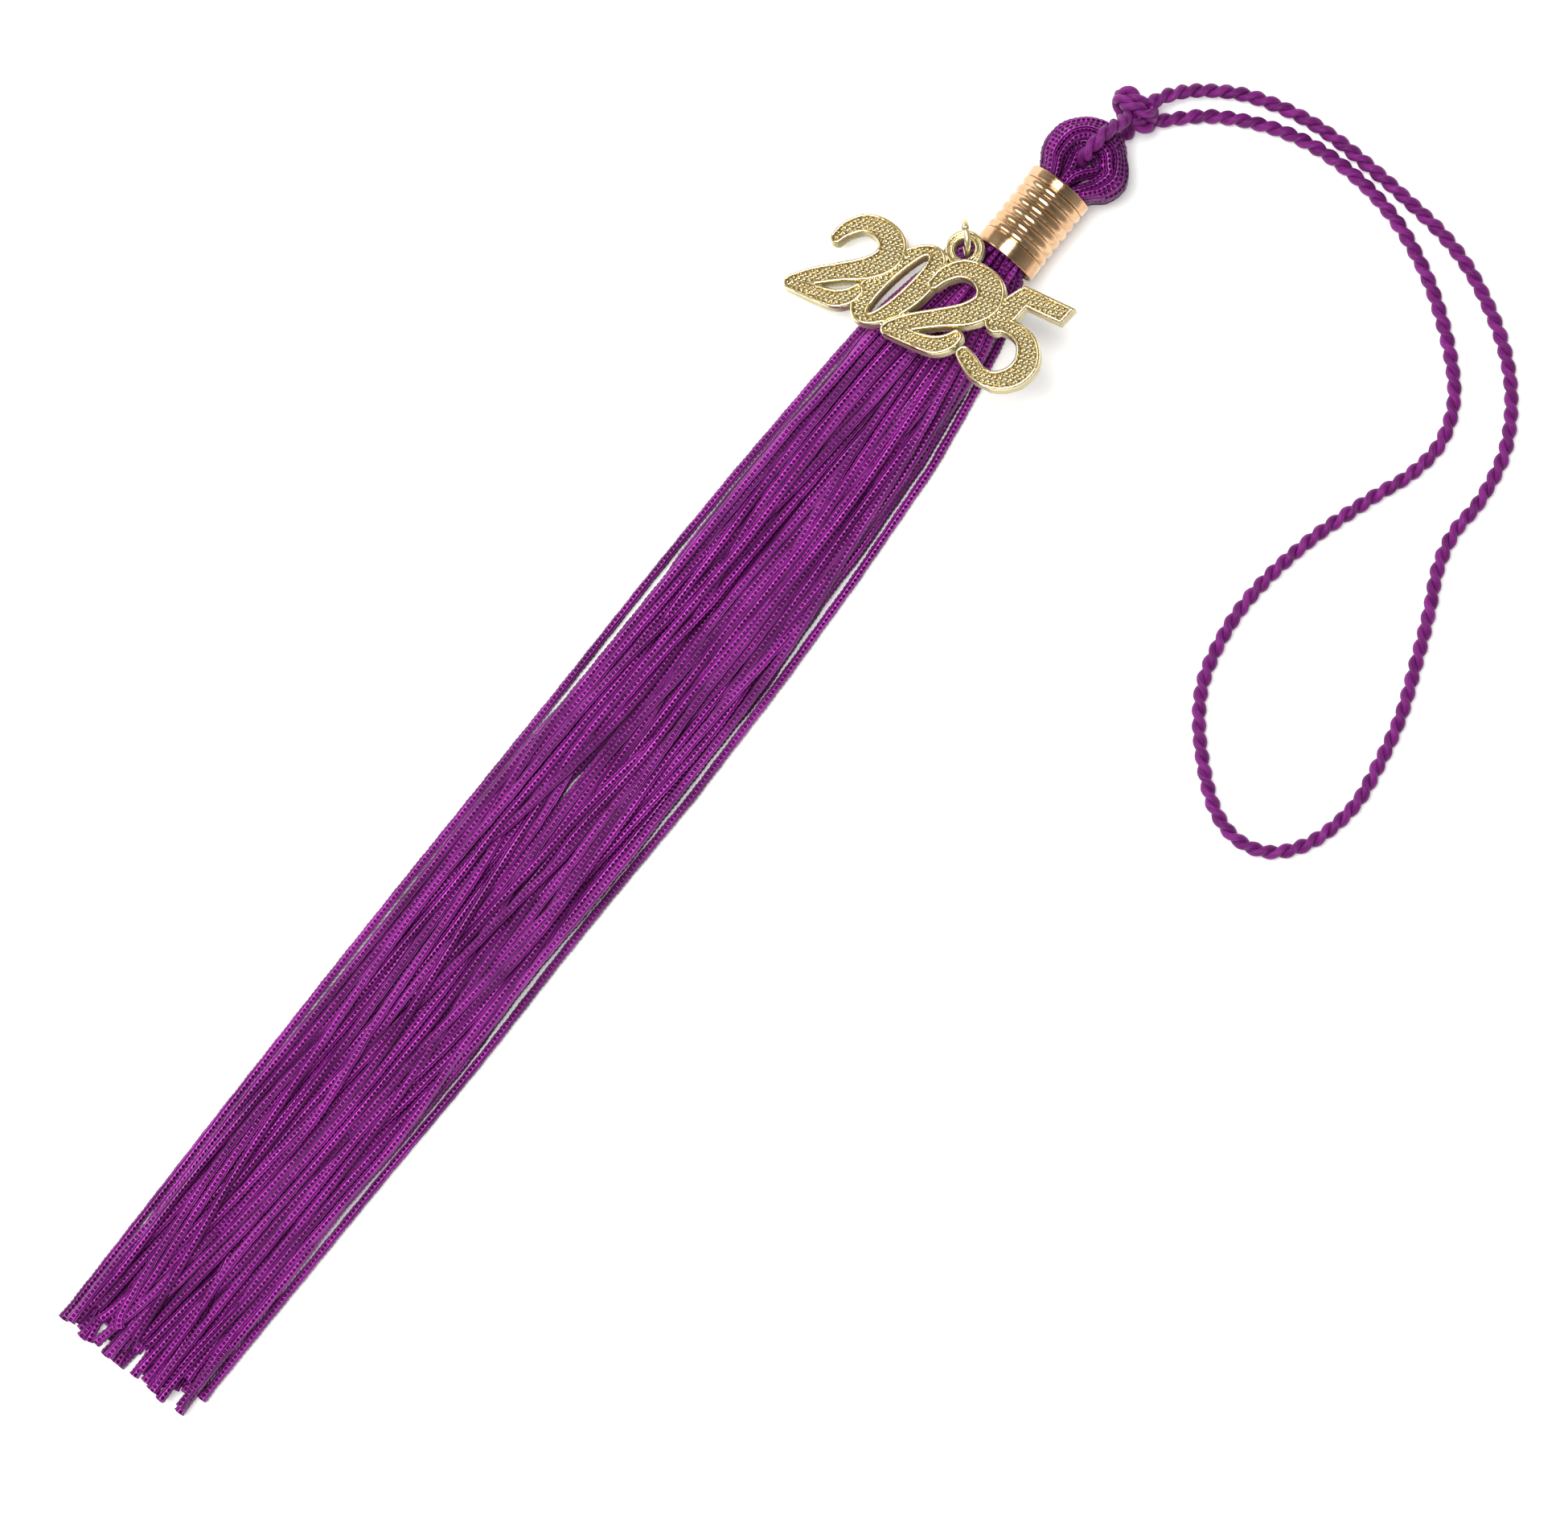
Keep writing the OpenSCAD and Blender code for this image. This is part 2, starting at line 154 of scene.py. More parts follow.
SWEEP_GRAIN = 900
SWEEP_GLOW = 0.26
sweep, sweep_tree, sweep_shader = new_finish("white_sweep", Roughness=0.95)
sweep_grain = sweep_tree.nodes.new("ShaderNodeTexNoise")
sweep_grain.inputs["Scale"].default_value = SWEEP_GRAIN
sweep_tree.links.new(
    between(sweep_tree, sweep_grain.outputs["Fac"], (0.90, 0.90, 0.90), (0.94, 0.94, 0.94)),
    sweep_shader.inputs["Base Color"],
)
sweep_shader.inputs["Emission Color"].default_value = (1, 1, 1, 1)
sweep_shader.inputs["Emission Strength"].default_value = SWEEP_GLOW

FLOOR_HALF = 2.5
FLOOR_SINK = 0.0001
floor_mesh = bpy.data.meshes.new("floor")
floor_mesh.from_pydata(
    [(x * FLOOR_HALF, y * FLOOR_HALF, -FLOOR_SINK) for x, y in ((-1, -1), (1, -1), (1, 1), (-1, 1))],
    [], [(0, 1, 2, 3)],
)
floor_mesh.materials.append(sweep)
floor = bpy.data.objects.new("floor", floor_mesh)
bpy.context.scene.collection.objects.link(floor)

# ---- Free loop of the hanger cord ----
# One length of two-ply twisted rayon cord. The two plies turn round each other to the left, and
# each ply is many fine filaments twisted the other way, so that they run nearly along the cord.
# The loop leaves the knot, lies on the table in a long bow and goes back into the knot.
CORD_D = 2.2
PLY_R = 0.60
PLY_OFFSET = 0.52
LAY_LENGTH = 4.7
CORD_STEP = 0.3
PLY_SIDES = 12
ROUTE_STEPS = 20
TABLE_GAP = 0.02
CORD_DARK = (0.018, 0.001, 0.020)
CORD_LIGHT = (0.28, 0.023, 0.27)
CORD_BUMP = 0.00008
# The bow where it lies on the table, then the whole route with its two ends at the knot
LOOP_ON_TABLE = [
    (20, 44.2), (26.8, 45), (33, 45), (40.2, 44.6), (48.6, 43.8), (56.7, 41.4), (64.7, 37.1),
    (71, 31.6), (75.4, 24.5), (77.1, 16.7), (77, 10.5), (78.4, 5), (81.4, -1), (84.6, -8),
    (87.7, -15.6), (89.6, -23), (90.6, -30.5), (89.2, -38), (85.4, -43.2), (80.4, -45),
    (75.3, -43.8), (70, -40), (65, -35), (61.4, -29), (59.6, -21), (59.6, -12), (61.4, -2.5),
    (64.2, 6.5), (66.6, 13), (67.2, 19.5), (65, 25.5), (60.1, 30.7), (53.6, 35.6), (46.8, 39.2),
    (41, 41.3), (34, 42.4), (27, 42.4), (20.4, 41), (14.6, 38.6), (10.2, 35.8),
]
LOOP_ROUTE = [
    (2.6, 31.2, 4.6), (3.6, 33.8, 4.0), (6.6, 37.6, 2.4), (12.7, 41.8, 1.2),
    *((x, y, CORD_D / 2) for x, y in LOOP_ON_TABLE),
    (7, 32.8, 1.3), (4.6, 30.2, 1.7),
]


def smooth_line(points, steps):
    """A curve through every point, with that many short steps from one point to the next."""
    p = np.asarray(points, float)
    last = len(p) - 1
    i = np.repeat(np.arange(last), steps)
    t = np.tile(np.arange(steps) / steps, last)[:, None]
    before = p[np.maximum(i - 1, 0)]
    start = p[i]
    end = p[i + 1]
    after = p[np.minimum(i + 2, last)]
    line = start + 0.5 * (
        (end - before) * t
        + (2 * before - 5 * start + 4 * end - after) * t ** 2
        + (3 * start - before - 3 * end + after) * t ** 3
    )
    return np.vstack([line, p[-1:]])


def even_steps(line, gap):
    """The same line with points a gap apart, and how far along it each of them is."""
    run = np.concatenate([[0], np.cumsum(np.linalg.norm(np.diff(line, axis=0), axis=1))])
    at = np.linspace(0, run[-1], max(round(run[-1] / gap), 2) + 1)
    return np.column_stack([np.interp(at, run, line[:, k]) for k in range(3)]), at


def directions(line, first_across):
    """Across, up and along at each point of a line, carried along it without twisting."""
    along = np.gradient(line, axis=0)
    along /= np.linalg.norm(along, axis=1)[:, None]
    across = np.empty_like(along)
    side = np.asarray(first_across, float)
    for i, heading in enumerate(along):
        side = side - heading * side.dot(heading)
        side = side / np.linalg.norm(side)
        across[i] = side
    return across, np.cross(along, across), along


def rings_round(line, radius, sides, across, up):
    """Rings of points round a line. The radius is one number for each point of the line."""
    turn = np.arange(sides) * 2 * math.pi / sides
    spoke = across[:, None] * np.cos(turn)[:, None] + up[:, None] * np.sin(turn)[:, None]
    return line[:, None] + spoke * np.asarray(radius)[:, None, None]


def skinned(name, tubes):
    """One mesh of closed tubes, each given as its rings, the distance along to each ring and its tone, for
    each ring or each of its points; on the strands that tone also holds painted shade underneath. The map
    called yarn holds the turn round the tube and the millimetres along it."""
    points = []
    faces = []
    yarn = []
    tones = []
    base = 0
    for rings, run, tone in tubes:
        rows, sides = rings.shape[:2]
        row, side = np.meshgrid(np.arange(rows - 1), np.arange(sides), indexing="ij")
        here = base + row * sides
        beside = (side + 1) % sides
        quads = np.stack([here + side, here + beside, here + sides + beside, here + sides + side], -1)
        turn = np.stack([side, side + 1, side + 1, side], -1) / sides
        far = np.stack([run[row], run[row], run[row + 1], run[row + 1]], -1)
        points.append(placed(rings).reshape(-1, 3))
        faces += quads.reshape(-1, 4).tolist()
        faces.append([base + k for k in reversed(range(sides))])
        faces.append([base + (rows - 1) * sides + k for k in range(sides)])
        yarn.append(np.stack([turn, far], -1).reshape(-1, 2))
        yarn.append(np.zeros((2 * sides, 2)))
        tones.append(np.broadcast_to(np.reshape(tone, (rows, -1)), (rows, sides)).ravel())
        base += rows * sides
    mesh = bpy.data.meshes.new(name)
    mesh.from_pydata(np.vstack(points).tolist(), [], faces)
    mesh.uv_layers.new(name="yarn").data.foreach_set("uv", np.vstack(yarn).ravel())
    mesh.attributes.new("tone", "FLOAT", "POINT").data.foreach_set("value", np.concatenate(tones))
    mesh.shade_smooth()
    return mesh


def fitted(name, mesh, body, slot, *finishes):
    """A piece of the tassel, which moves with a body and takes the finishes it is given. The slot is not
    used.
    """
    piece = bpy.data.objects.new(name, mesh)
    for finish in finishes:
        mesh.materials.append(finish)
    bpy.context.scene.collection.objects.link(piece)
    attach(piece, body)
    return piece


def waves(base, run, *terms):
    """Unevenness along a yarn: a base with waves on it, each [height, radians per mm, start]."""
    total = base
    for height, pace, start in terms:
        total = total + height * np.sin(run * pace + start)
    return total


def twisted_cord(name, route, first_across):
    """Two plies laid round each other along a route, as one mesh, and the route's smooth line."""
    line, run = even_steps(smooth_line(route, ROUTE_STEPS), CORD_STEP)
    across, up, _ = directions(line, first_across)
    plies = []
    for start in (0, math.pi):
        turn = start - run * 2 * math.pi / LAY_LENGTH
        swell = waves(1, run, (0.05, 0.9, start), (0.04, 2.3, 0))
        middle = line + PLY_OFFSET * (
            across * np.cos(turn)[:, None] + up * np.sin(turn)[:, None]
        )
        ply_across, ply_up, _ = directions(middle, first_across)
        tone = waves(0.5, run, (0.25, 0.35, start))
        rings = rings_round(middle, PLY_R * swell, PLY_SIDES, ply_across, ply_up)
        rings[:, :, 2] = np.maximum(rings[:, :, 2], TABLE_GAP)
        plies.append((rings, run, tone))
    return skinned(name, plies), line


def new_group(name, inputs, outputs):
    """An empty node group with named number sockets, and its own input and output nodes."""
    group = bpy.data.node_groups.new(name, "ShaderNodeTree")
    for label in inputs:
        group.interface.new_socket(name=label, in_out="INPUT", socket_type="NodeSocketFloat")
    for label in outputs:
        group.interface.new_socket(name=label, in_out="OUTPUT", socket_type="NodeSocketFloat")
    return group, group.nodes.new("NodeGroupInput").outputs, group.nodes.new("NodeGroupOutput").inputs


def use_group(tree, group, **values):
    """A node group placed in a material, with its own values."""
    node = tree.nodes.new("ShaderNodeGroup")
    node.node_tree = group
    for name, value in values.items():
        if isinstance(value, (int, float)):
            node.inputs[name].default_value = value
        else:
            tree.links.new(value, node.inputs[name])
    return node.outputs


def stretch(tree, value, low, high):
    """The value spread so that low becomes nought and high becomes one, and cut off there."""
    node = tree.nodes.new("ShaderNodeMapRange")
    tree.links.new(value, node.inputs["Value"])
    node.inputs["From Min"].default_value = low
    node.inputs["From Max"].default_value = high
    return node.outputs["Result"]


# Fine filaments of a yarn: streaks that wind round it, with no seam where the turn starts again
filaments, made_from, gives = new_group("filaments", ("Around", "Along", "Twist", "Count"), ("Streak",))
wound = calc(filaments, "MULTIPLY_ADD", made_from["Along"], made_from["Twist"], made_from["Around"])
wound = calc(filaments, "MULTIPLY", wound, 2 * math.pi)
spread = filaments.nodes.new("ShaderNodeCombineXYZ")
for axis, wave in (("X", "COSINE"), ("Y", "SINE")):
    filaments.links.new(
        calc(filaments, "MULTIPLY", calc(filaments, wave, wound), made_from["Count"]),
        spread.inputs[axis],
    )
filaments.links.new(calc(filaments, "MULTIPLY", made_from["Along"], 0.45), spread.inputs["Z"])
fibre = filaments.nodes.new("ShaderNodeTexNoise")
fibre.inputs["Scale"].default_value = 1
fibre.inputs["Detail"].default_value = 3
filaments.links.new(spread.outputs[0], fibre.inputs["Vector"])
filaments.links.new(stretch(filaments, fibre.outputs["Fac"], 0.3, 0.7), gives["Streak"])


def yarn_places(tree):
    """The turn round a yarn and the millimetres along it."""
    where = tree.nodes.new("ShaderNodeUVMap")
    where.uv_map = "yarn"
    split = tree.nodes.new("ShaderNodeSeparateXYZ")
    tree.links.new(where.outputs[0], split.inputs[0])
    return split.outputs["X"], split.outputs["Y"]


def tone_of(tree):
    """How light the yarn is there, from the map called tone in its mesh: its own tone, and on the strands
    painted shade underneath as well.
    """
    node = tree.nodes.new("ShaderNodeAttribute")
    node.attribute_name = "tone"
    return node.outputs["Fac"]


def raise_surface(tree, shader, height, depth):
    """Bumps of that depth in metres on a shader's surface."""
    bump = tree.nodes.new("ShaderNodeBump")
    bump.inputs["Distance"].default_value = depth
    tree.links.new(height, bump.inputs["Height"])
    tree.links.new(bump.outputs[0], shader.inputs["Normal"])


cord_finish, cord_tree, cord_shader = new_finish(
    "twisted_rayon", Sheen_Weight=0.03, Sheen_Roughness=0.35, Specular_IOR_Level=0.6,
)
cord_shader.inputs["Sheen Tint"].default_value = (0.9, 0.2, 0.9, 1)
cord_shader.inputs["Specular Tint"].default_value = (1.0, 0.35, 1.0, 1)
cord_around, cord_along = yarn_places(cord_tree)
cord_streak = use_group(
    cord_tree, filaments, Around=cord_around, Along=cord_along, Twist=0.16, Count=5.5,
)["Streak"]
cord_tone = calc(cord_tree, "MULTIPLY", tone_of(cord_tree), 0.5)
cord_light = calc(cord_tree, "MULTIPLY_ADD", cord_streak, 0.6, cord_tone)
cord_tree.links.new(
    between(cord_tree, cord_light, CORD_DARK, CORD_LIGHT),
    cord_shader.inputs["Base Color"],
)
cord_tree.links.new(
    calc(cord_tree, "MULTIPLY_ADD", cord_streak, -0.15, 0.48), cord_shader.inputs["Roughness"],
)
raise_surface(cord_tree, cord_shader, cord_streak, CORD_BUMP)

loop_mesh, loop_line = twisted_cord("hanger_loop_cord", LOOP_ROUTE, (0, 0, 1))
loop = fitted("hanger_loop_cord", loop_mesh, "hanger", "twisted_cord", cord_finish)
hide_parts("hanger_loop")

# ---- Neck and knot of the hanger cord ----
# The same cord lies over the folds of the strands, goes down through the eye between them and
# comes back underneath. Both legs are tied together in one overhand knot above the folds.
EYE_Y = 18.2
NECK_ROUTE = [
    (1.4, 9.8, 5.4), (1.2, 8.6, 7.0), (0.8, 7.0, 8.9), (0.4, 5.2, 10.2), (0.1, 3.2, 10.6),
    (0, 1.6, 10.3), (0, 0.5, 9.2), (0, 0, 7.6), (0, 0, 5.6), (0, 0, 4.0), (0, 0.5, 2.4),
    (0.4, 1.8, 1.3), (1.5, 4.2, 1.2), (2.3, 6.6, 1.3), (2.6, 8.4, 2.6), (2.3, 9.9, 3.4),
]
KNOT_AT = np.array([1.3, 29.2, 3.4])
# From the middle of the knot: the leg that wraps once round the front, and the one inside it
KNOT_WRAP = [
    (0.1, -1.2, 2.0), (1.5, -1.3, 1.9), (2.9, -0.8, 0.9), (3.0, 0.2, -1.0), (1.0, 1.0, -2.0),
    (-1.5, 1.0, -1.8), (-2.9, 0.5, -0.2), (-2.4, -0.1, 1.7), (-0.7, -0.1, 2.8), (1.2, 0.5, 2.6),
    (2.6, 1.0, 1.2), (2.0, 1.6, 0.2), (1.3, 2.0, 1.2),
]
KNOT_CORE = [
    (1.3, -1.3, -0.5), (0.4, -1.2, -1.7), (-1.6, -0.8, -1.8), (-2.8, 0.6, -0.3), (-2.2, 1.4, 1.3),
    (-0.4, 1.5, 1.8), (1.4, 1.2, 1.0), (2.4, 0.9, -0.6), (3.3, 1.0, -1.7),
]

neck_mesh, _ = twisted_cord("hanger_neck_cord", np.array(NECK_ROUTE) + (0, EYE_Y, 0), (1, 0, 0))
neck = fitted("hanger_neck_cord", neck_mesh, "hanger", "twisted_cord", cord_finish)
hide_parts("hanger_neck")
for name, route in (("hanger_knot_wrap", KNOT_WRAP), ("hanger_knot_core", KNOT_CORE)):
    knot_mesh, _ = twisted_cord(name, np.array(route) + KNOT_AT, (0, 1, 0))
    knot = fitted(name, knot_mesh, "hanger", "twisted_cord", cord_finish)
    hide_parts("hanger_knot")

# ---- Strands ----
# Each strand is a knitted chainette of rayon, a round tube of small V-shaped stitches. It is
# folded in the middle over the hanger cord, held in the ferrule and cut off at both ends.
# The 56 legs lie on the table in a loose heap a few strands deep, and wander over one another.
FILES = (6, 8, 8, 6)
MOST_ROWS = max(FILES)
BUNDLE_Z = 5.151
PACKED_D = 0.84
PACKED_PITCH = 0.9
STRAND_D = 1.42
# How the legs spread over the width of the heap, as places across it from its middle
COLUMN_PITCH = 3.1
WEAVE_SHIFT = 0.775
HALF_SPREAD = 12.4
LEG_LENGTH = 206
# Most that one leg's cut end lies beyond or short of the others
STRAY = 2.6
FERRULE_LENGTH = 13.6
EYELET_AT = np.array([-5.1, -2.9, 9.201])
CHARM_THICK = 2.4
CHARM_TURNS = Euler((math.radians(-5), math.radians(-14.5), math.radians(11.5)))
charm_normal = np.array(CHARM_TURNS.to_matrix() @ Vector((0, 0, 1)))
# Sides of the heap at each distance below the ferrule: [distance, left edge, right edge]
HEAP = np.array([
    [0, -4.7, 4.7], [4, -7.4, 6.2], [10, -9.4, 7.9], [20, -11.0, 9.9], [30, -11.5, 11.4],
    [50, -12.2, 12.8], [70, -12.4, 13.7], [90, -12.4, 14.1], [120, -12.6, 13.5],
    [140, -12.8, 13.7], [170, -12.7, 13.2], [210, -12.3, 12.7],
])
# One leg lies along each edge. Where a slit opens beside it: [middle, reach], left side then right
EDGE_SEAT = (3, 0)
SLIT = 0.30
SLITS = (((30, 8), (66, 34), (140, 22)), ((58, 12), (88, 14), (128, 12), (170, 10)))
# Distances below the ferrule at which each leg's course is worked out
NEAR_STATIONS = [-1, 0, 1.4, 3.2, 5, 7, 9.5, 12, 15, 18.5, 22]
stations = np.concatenate([NEAR_STATIONS, np.arange(26, 203, 4.0), [LEG_LENGTH]])
below = np.maximum(stations, 0)
strand_names = [name for name in sorted(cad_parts) if name.startswith("strand_")]
seats = [(file, row) for file, rows in enumerate(FILES) for row in range(rows)]


def seat_level(file, row):
    """Height of a strand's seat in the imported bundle, in rows from the middle."""
    return row - (FILES[file] - 1) / 2


def weave_of(file, row):
    """Rows shift inward and outward by turns, and strands at one level shift together."""
    return -1 if (row + (MOST_ROWS - FILES[file]) // 2) % 2 == 0 else 1


def grown(reach):
    """What a change that begins at the ferrule's mouth has come to at each station, from nought
    there to one, with most of it done within that reach."""
    return 1 - np.exp(-below / reach)


def drift(chance, waves_in_leg, calm):
    """A random wander along a leg, made of waves. The larger calm is, the weaker the short ones."""
    share = below / LEG_LENGTH
    return sum(
        chance.normal() * np.sin(math.pi * (wave * share + 2 * chance.random())) / wave ** calm
        for wave in waves_in_leg
    )


# How far a leg wanders sideways, spreads at its tip and rises, in millimetres, and the height of a
# row in the heap
WANDER = 3.0
SPLAY = 1.3
SPLAY_FROM = 0.86
SPLAY_SHARE = 0.14
LIFT = 1.1
ROW_RISE = 0.62
# The legs part and swell below the mouth over these lengths, each with a little room round it
PARTS_OVER = 6.5
SWELLS_OVER = 5
ROOM = 1.03
# Settling: number of rounds, and what each of them does of a push apart, a bend made straight, the
# way back to the leg's first place and, in millimetres, the sinking
ROUNDS = 420
PUSH = 0.22
STRAIGHTEN = 0.22
RETURN = 0.015
SINK = 0.035
# Legs stay this far under the charm, down to this distance below the ferrule
CHARM_GAP = 0.35
CHARM_REACH = 24
NO_LIMIT = 99
# The legs in the jump ring: how far it pulls them out and up, where it does so most, how much they
# spread and sink below it, and how far down they are held
PULL_OUT = 2.4
PULL_UP = 0.22
PULL_AT = 3.2
HELD_SPREAD = 2.2
HELD_SPREADS_OVER = 18
HELD_SINK = 2.2
HELD_SINKS_OVER = 9
HELD_DOWN_TO = 10


def settle_legs():
    """Lets the 56 legs slide apart, sink and lie side by side. Gives X and Z for each leg and
    station. Legs that the jump ring holds keep to their pulled-out course near the ferrule."""
    chance = np.random.default_rng(7)
    legs = [(file, row, side) for file, row in seats for side in (1, -1)]
    opened = grown(PARTS_OVER)
    size = PACKED_D + (STRAND_D * ROOM - PACKED_D) * grown(SWELLS_OVER)
    left = np.interp(stations, HEAP[:, 0], HEAP[:, 1]) + size / 2
    right = np.interp(stations, HEAP[:, 0], HEAP[:, 2]) - size / 2
    gaps = [
        sum(np.clip(1 - ((stations - middle) / reach) ** 2, 0, 1) for middle, reach in side)
        for side in SLITS
    ]
    x = np.empty((len(legs), len(stations)))
    z = np.empty_like(x)
    sides = np.empty((2, len(legs), len(stations)))
    held = []
    for i, (file, row, side) in enumerate(legs):
        across_heap = (file + 0.5) * COLUMN_PITCH + weave_of(file, row) * WEAVE_SHIFT
        home = side * across_heap / HALF_SPREAD
        wander = drift(chance, (1, 2, 3, 5, 8), 0.8)
        splay = chance.normal() * np.clip((below / LEG_LENGTH - SPLAY_FROM) / SPLAY_SHARE, 0, 1) ** 1.5
        slack = np.array([size * 0.9 + SLIT * gaps[0], -(size * 0.9 + SLIT * gaps[1])]) * opened
        slack *= 1 + 0.5 * chance.random()
        lift = drift(chance, (2, 4, 7, 11), 0.5)
        packed_x = side * (file + 0.5) * PACKED_PITCH
        packed_z = BUNDLE_Z + seat_level(file, row) * PACKED_PITCH
        loose_x = (left + right) / 2 + (right - left) / 2 * home + WANDER * wander + SPLAY * splay
        loose_z = STRAND_D / 2 + row * ROW_RISE + LIFT * lift
        sides[:, i] = np.array([left, right]) + slack
        if (file, row) == EDGE_SEAT:
            sides[:, i] = [left, left + 0.1] if side < 0 else [right - 0.1, right]
        x[i] = packed_x + (loose_x - packed_x) * opened
        z[i] = packed_z + (loose_z - packed_z) * opened
        if side < 0 and file == len(FILES) - 1 and row >= FILES[file] - 2:
            held.append(i)
    start_x = x.copy()
    start_z = z.copy()
    pull = below / PULL_AT * np.exp(1 - below / PULL_AT)
    near = (stations < HELD_DOWN_TO).astype(float)
    for _ in range(ROUNDS):
        apart_x = x[:, None] - x[None]
        apart_z = z[:, None] - z[None]
        apart = np.sqrt(apart_x ** 2 + apart_z ** 2) + 1e-6
        shove = np.clip(size - apart, 0, None) / apart * (apart > 1e-3)
        x += PUSH * (shove * apart_x).sum(1)
        z += PUSH * (shove * apart_z).sum(1)
        for course in (x, z):
            course[:, 1:-1] += STRAIGHTEN * (course[:, :-2] + course[:, 2:] - 2 * course[:, 1:-1])
        x += RETURN * (start_x - x)
        z -= SINK
        x = np.clip(x, sides[0], sides[1])
        below_charm = EYELET_AT[2] - (
            charm_normal[0] * (x - EYELET_AT[0]) + charm_normal[1] * (-stations - EYELET_AT[1])
        ) / charm_normal[2] - CHARM_THICK / 2 - CHARM_GAP - size / 2
        below_charm = np.where(stations < CHARM_REACH, below_charm, NO_LIMIT)
        z = np.clip(z, size / 2, np.maximum(below_charm, size / 2))
        x[:, :2] = start_x[:, :2]
        z[:, :2] = start_z[:, :2]
        for i in held:
            file, row, side = legs[i]
            own_x = -(file + 0.5) * (PACKED_PITCH + HELD_SPREAD * grown(HELD_SPREADS_OVER)) - PULL_OUT * pull
            own_z = BUNDLE_Z + seat_level(file, row) * PACKED_PITCH + PULL_UP * pull
            own_z -= HELD_SINK * grown(HELD_SINKS_OVER)
            x[i] += near * (own_x - x[i])
            z[i] += near * (own_z - z[i])
    return legs, x, z, size


legs, leg_x, leg_z, leg_size = settle_legs()

STITCH_COLUMNS = 4
STITCH_LENGTH = 0.73
STITCH_WIDTH = math.pi * STRAND_D / STITCH_COLUMNS
# The knitted yarn's colour runs from yarn in painted shade to lit yarn
KNIT_IN_SHADE = (0.014, 0.001, 0.016)
KNIT_IN_LIGHT = (0.56, 0.044, 0.55)
# Near black, painted in the pin holes as the shade inside them
HOLE_SHADE_COLOUR = (0.008, 0.0005, 0.009)
KNIT_BUMP = 0.00022

# Stitches of a chainette: four columns of small closed loops round the tube. Each loop is a ring of yarn
# round a pin hole. Height is the rise of the yarn, and the knitted finish also paints shade and highlight
# with it: darker between loops and columns, lighter on each loop. Hole is where the pin hole is, which the
# finish paints dark as shade.
stitches, made_from, gives = new_group("chainette_stitches", ("Around", "Along"), ("Height", "Hole"))
column = calc(stitches, "MULTIPLY_ADD", made_from["Around"], STITCH_COLUMNS, 0.5)
offside = calc(stitches, "ABSOLUTE", calc(stitches, "SUBTRACT", calc(stitches, "FRACT", column), 0.5))
course = calc(stitches, "FRACT", calc(stitches, "DIVIDE", made_from["Along"], STITCH_LENGTH))
past_hole = calc(stitches, "MULTIPLY", calc(stitches, "SUBTRACT", course, 0.5), STITCH_LENGTH)
beside_hole = calc(stitches, "MULTIPLY", offside, STITCH_WIDTH)
beside_squared = calc(stitches, "MULTIPLY", beside_hole, beside_hole)
from_hole = calc(
    stitches, "SQRT", calc(stitches, "MULTIPLY_ADD", past_hole, past_hole, beside_squared),
)
stitches.links.new(stretch(stitches, from_hole, 0.25, 0.13), gives["Hole"])
loop_yarn = stretch(stitches, from_hole, 0.12, 0.32)
column_edge = stretch(stitches, offside, 0.5, 0.36)
stitches.links.new(calc(stitches, "MULTIPLY", loop_yarn, column_edge), gives["Height"])

knit_finish, knit_tree, knit_shader = new_finish(
    "knitted_rayon", Sheen_Weight=0.02, Sheen_Roughness=0.3, Specular_IOR_Level=0.6,
)
knit_shader.inputs["Sheen Tint"].default_value = (0.95, 0.2, 0.95, 1)
knit_shader.inputs["Specular Tint"].default_value = (1.0, 0.35, 1.0, 1)
knit_around, knit_along = yarn_places(knit_tree)
knit = use_group(knit_tree, stitches, Around=knit_around, Along=knit_along)
knit_streak = use_group(
    knit_tree, filaments, Around=knit_around, Along=knit_along, Twist=0.05, Count=4.0,
)["Streak"]
knit_streak = calc(knit_tree, "MULTIPLY", knit_streak, 0.4)
# Painted shade and highlight: darker between loops and columns, on the underside and in the lows that the
# power deepens, lighter on each loop's rise, with random tone and filament streaks mixed in
knit_shade_and_tone = calc(knit_tree, "MULTIPLY_ADD", knit["Height"], 0.75, knit_streak)
knit_shade_and_tone = calc(knit_tree, "MULTIPLY", knit_shade_and_tone, tone_of(knit_tree))
knit_shade_and_tone = calc(knit_tree, "POWER", knit_shade_and_tone, 2.3)
knit_colour = between(knit_tree, knit_shade_and_tone, KNIT_IN_SHADE, KNIT_IN_LIGHT)
# Painted shade: the pin holes are coloured near black
knit_colour = between(knit_tree, knit["Hole"], knit_colour, HOLE_SHADE_COLOUR)
knit_tree.links.new(knit_colour, knit_shader.inputs["Base Color"])
knit_tree.links.new(
    calc(knit_tree, "MULTIPLY_ADD", knit["Height"], -0.18, 0.46), knit_shader.inputs["Roughness"],
)
raise_surface(
    knit_tree, knit_shader, calc(knit_tree, "SUBTRACT", knit["Height"], knit["Hole"]), KNIT_BUMP,
)

LEG_STEP = 0.1825
LEG_SIDES = 12
STITCH_RISE = 0.06
COLUMN_SINK = 0.8
# Painted shade: how much of its tone a strand loses underneath, where less light falls, and the least that
# is left
UNDERSIDE_PAINTED_SHADE = 0.9
LEAST_TONE = 0.04
# A leg is drawn a little thinner than the room it settled in, and its cut end frays a little wider
DRAWN_SHARE = 0.94
FRAY = 0.22
FRAY_LENGTH = 2.0


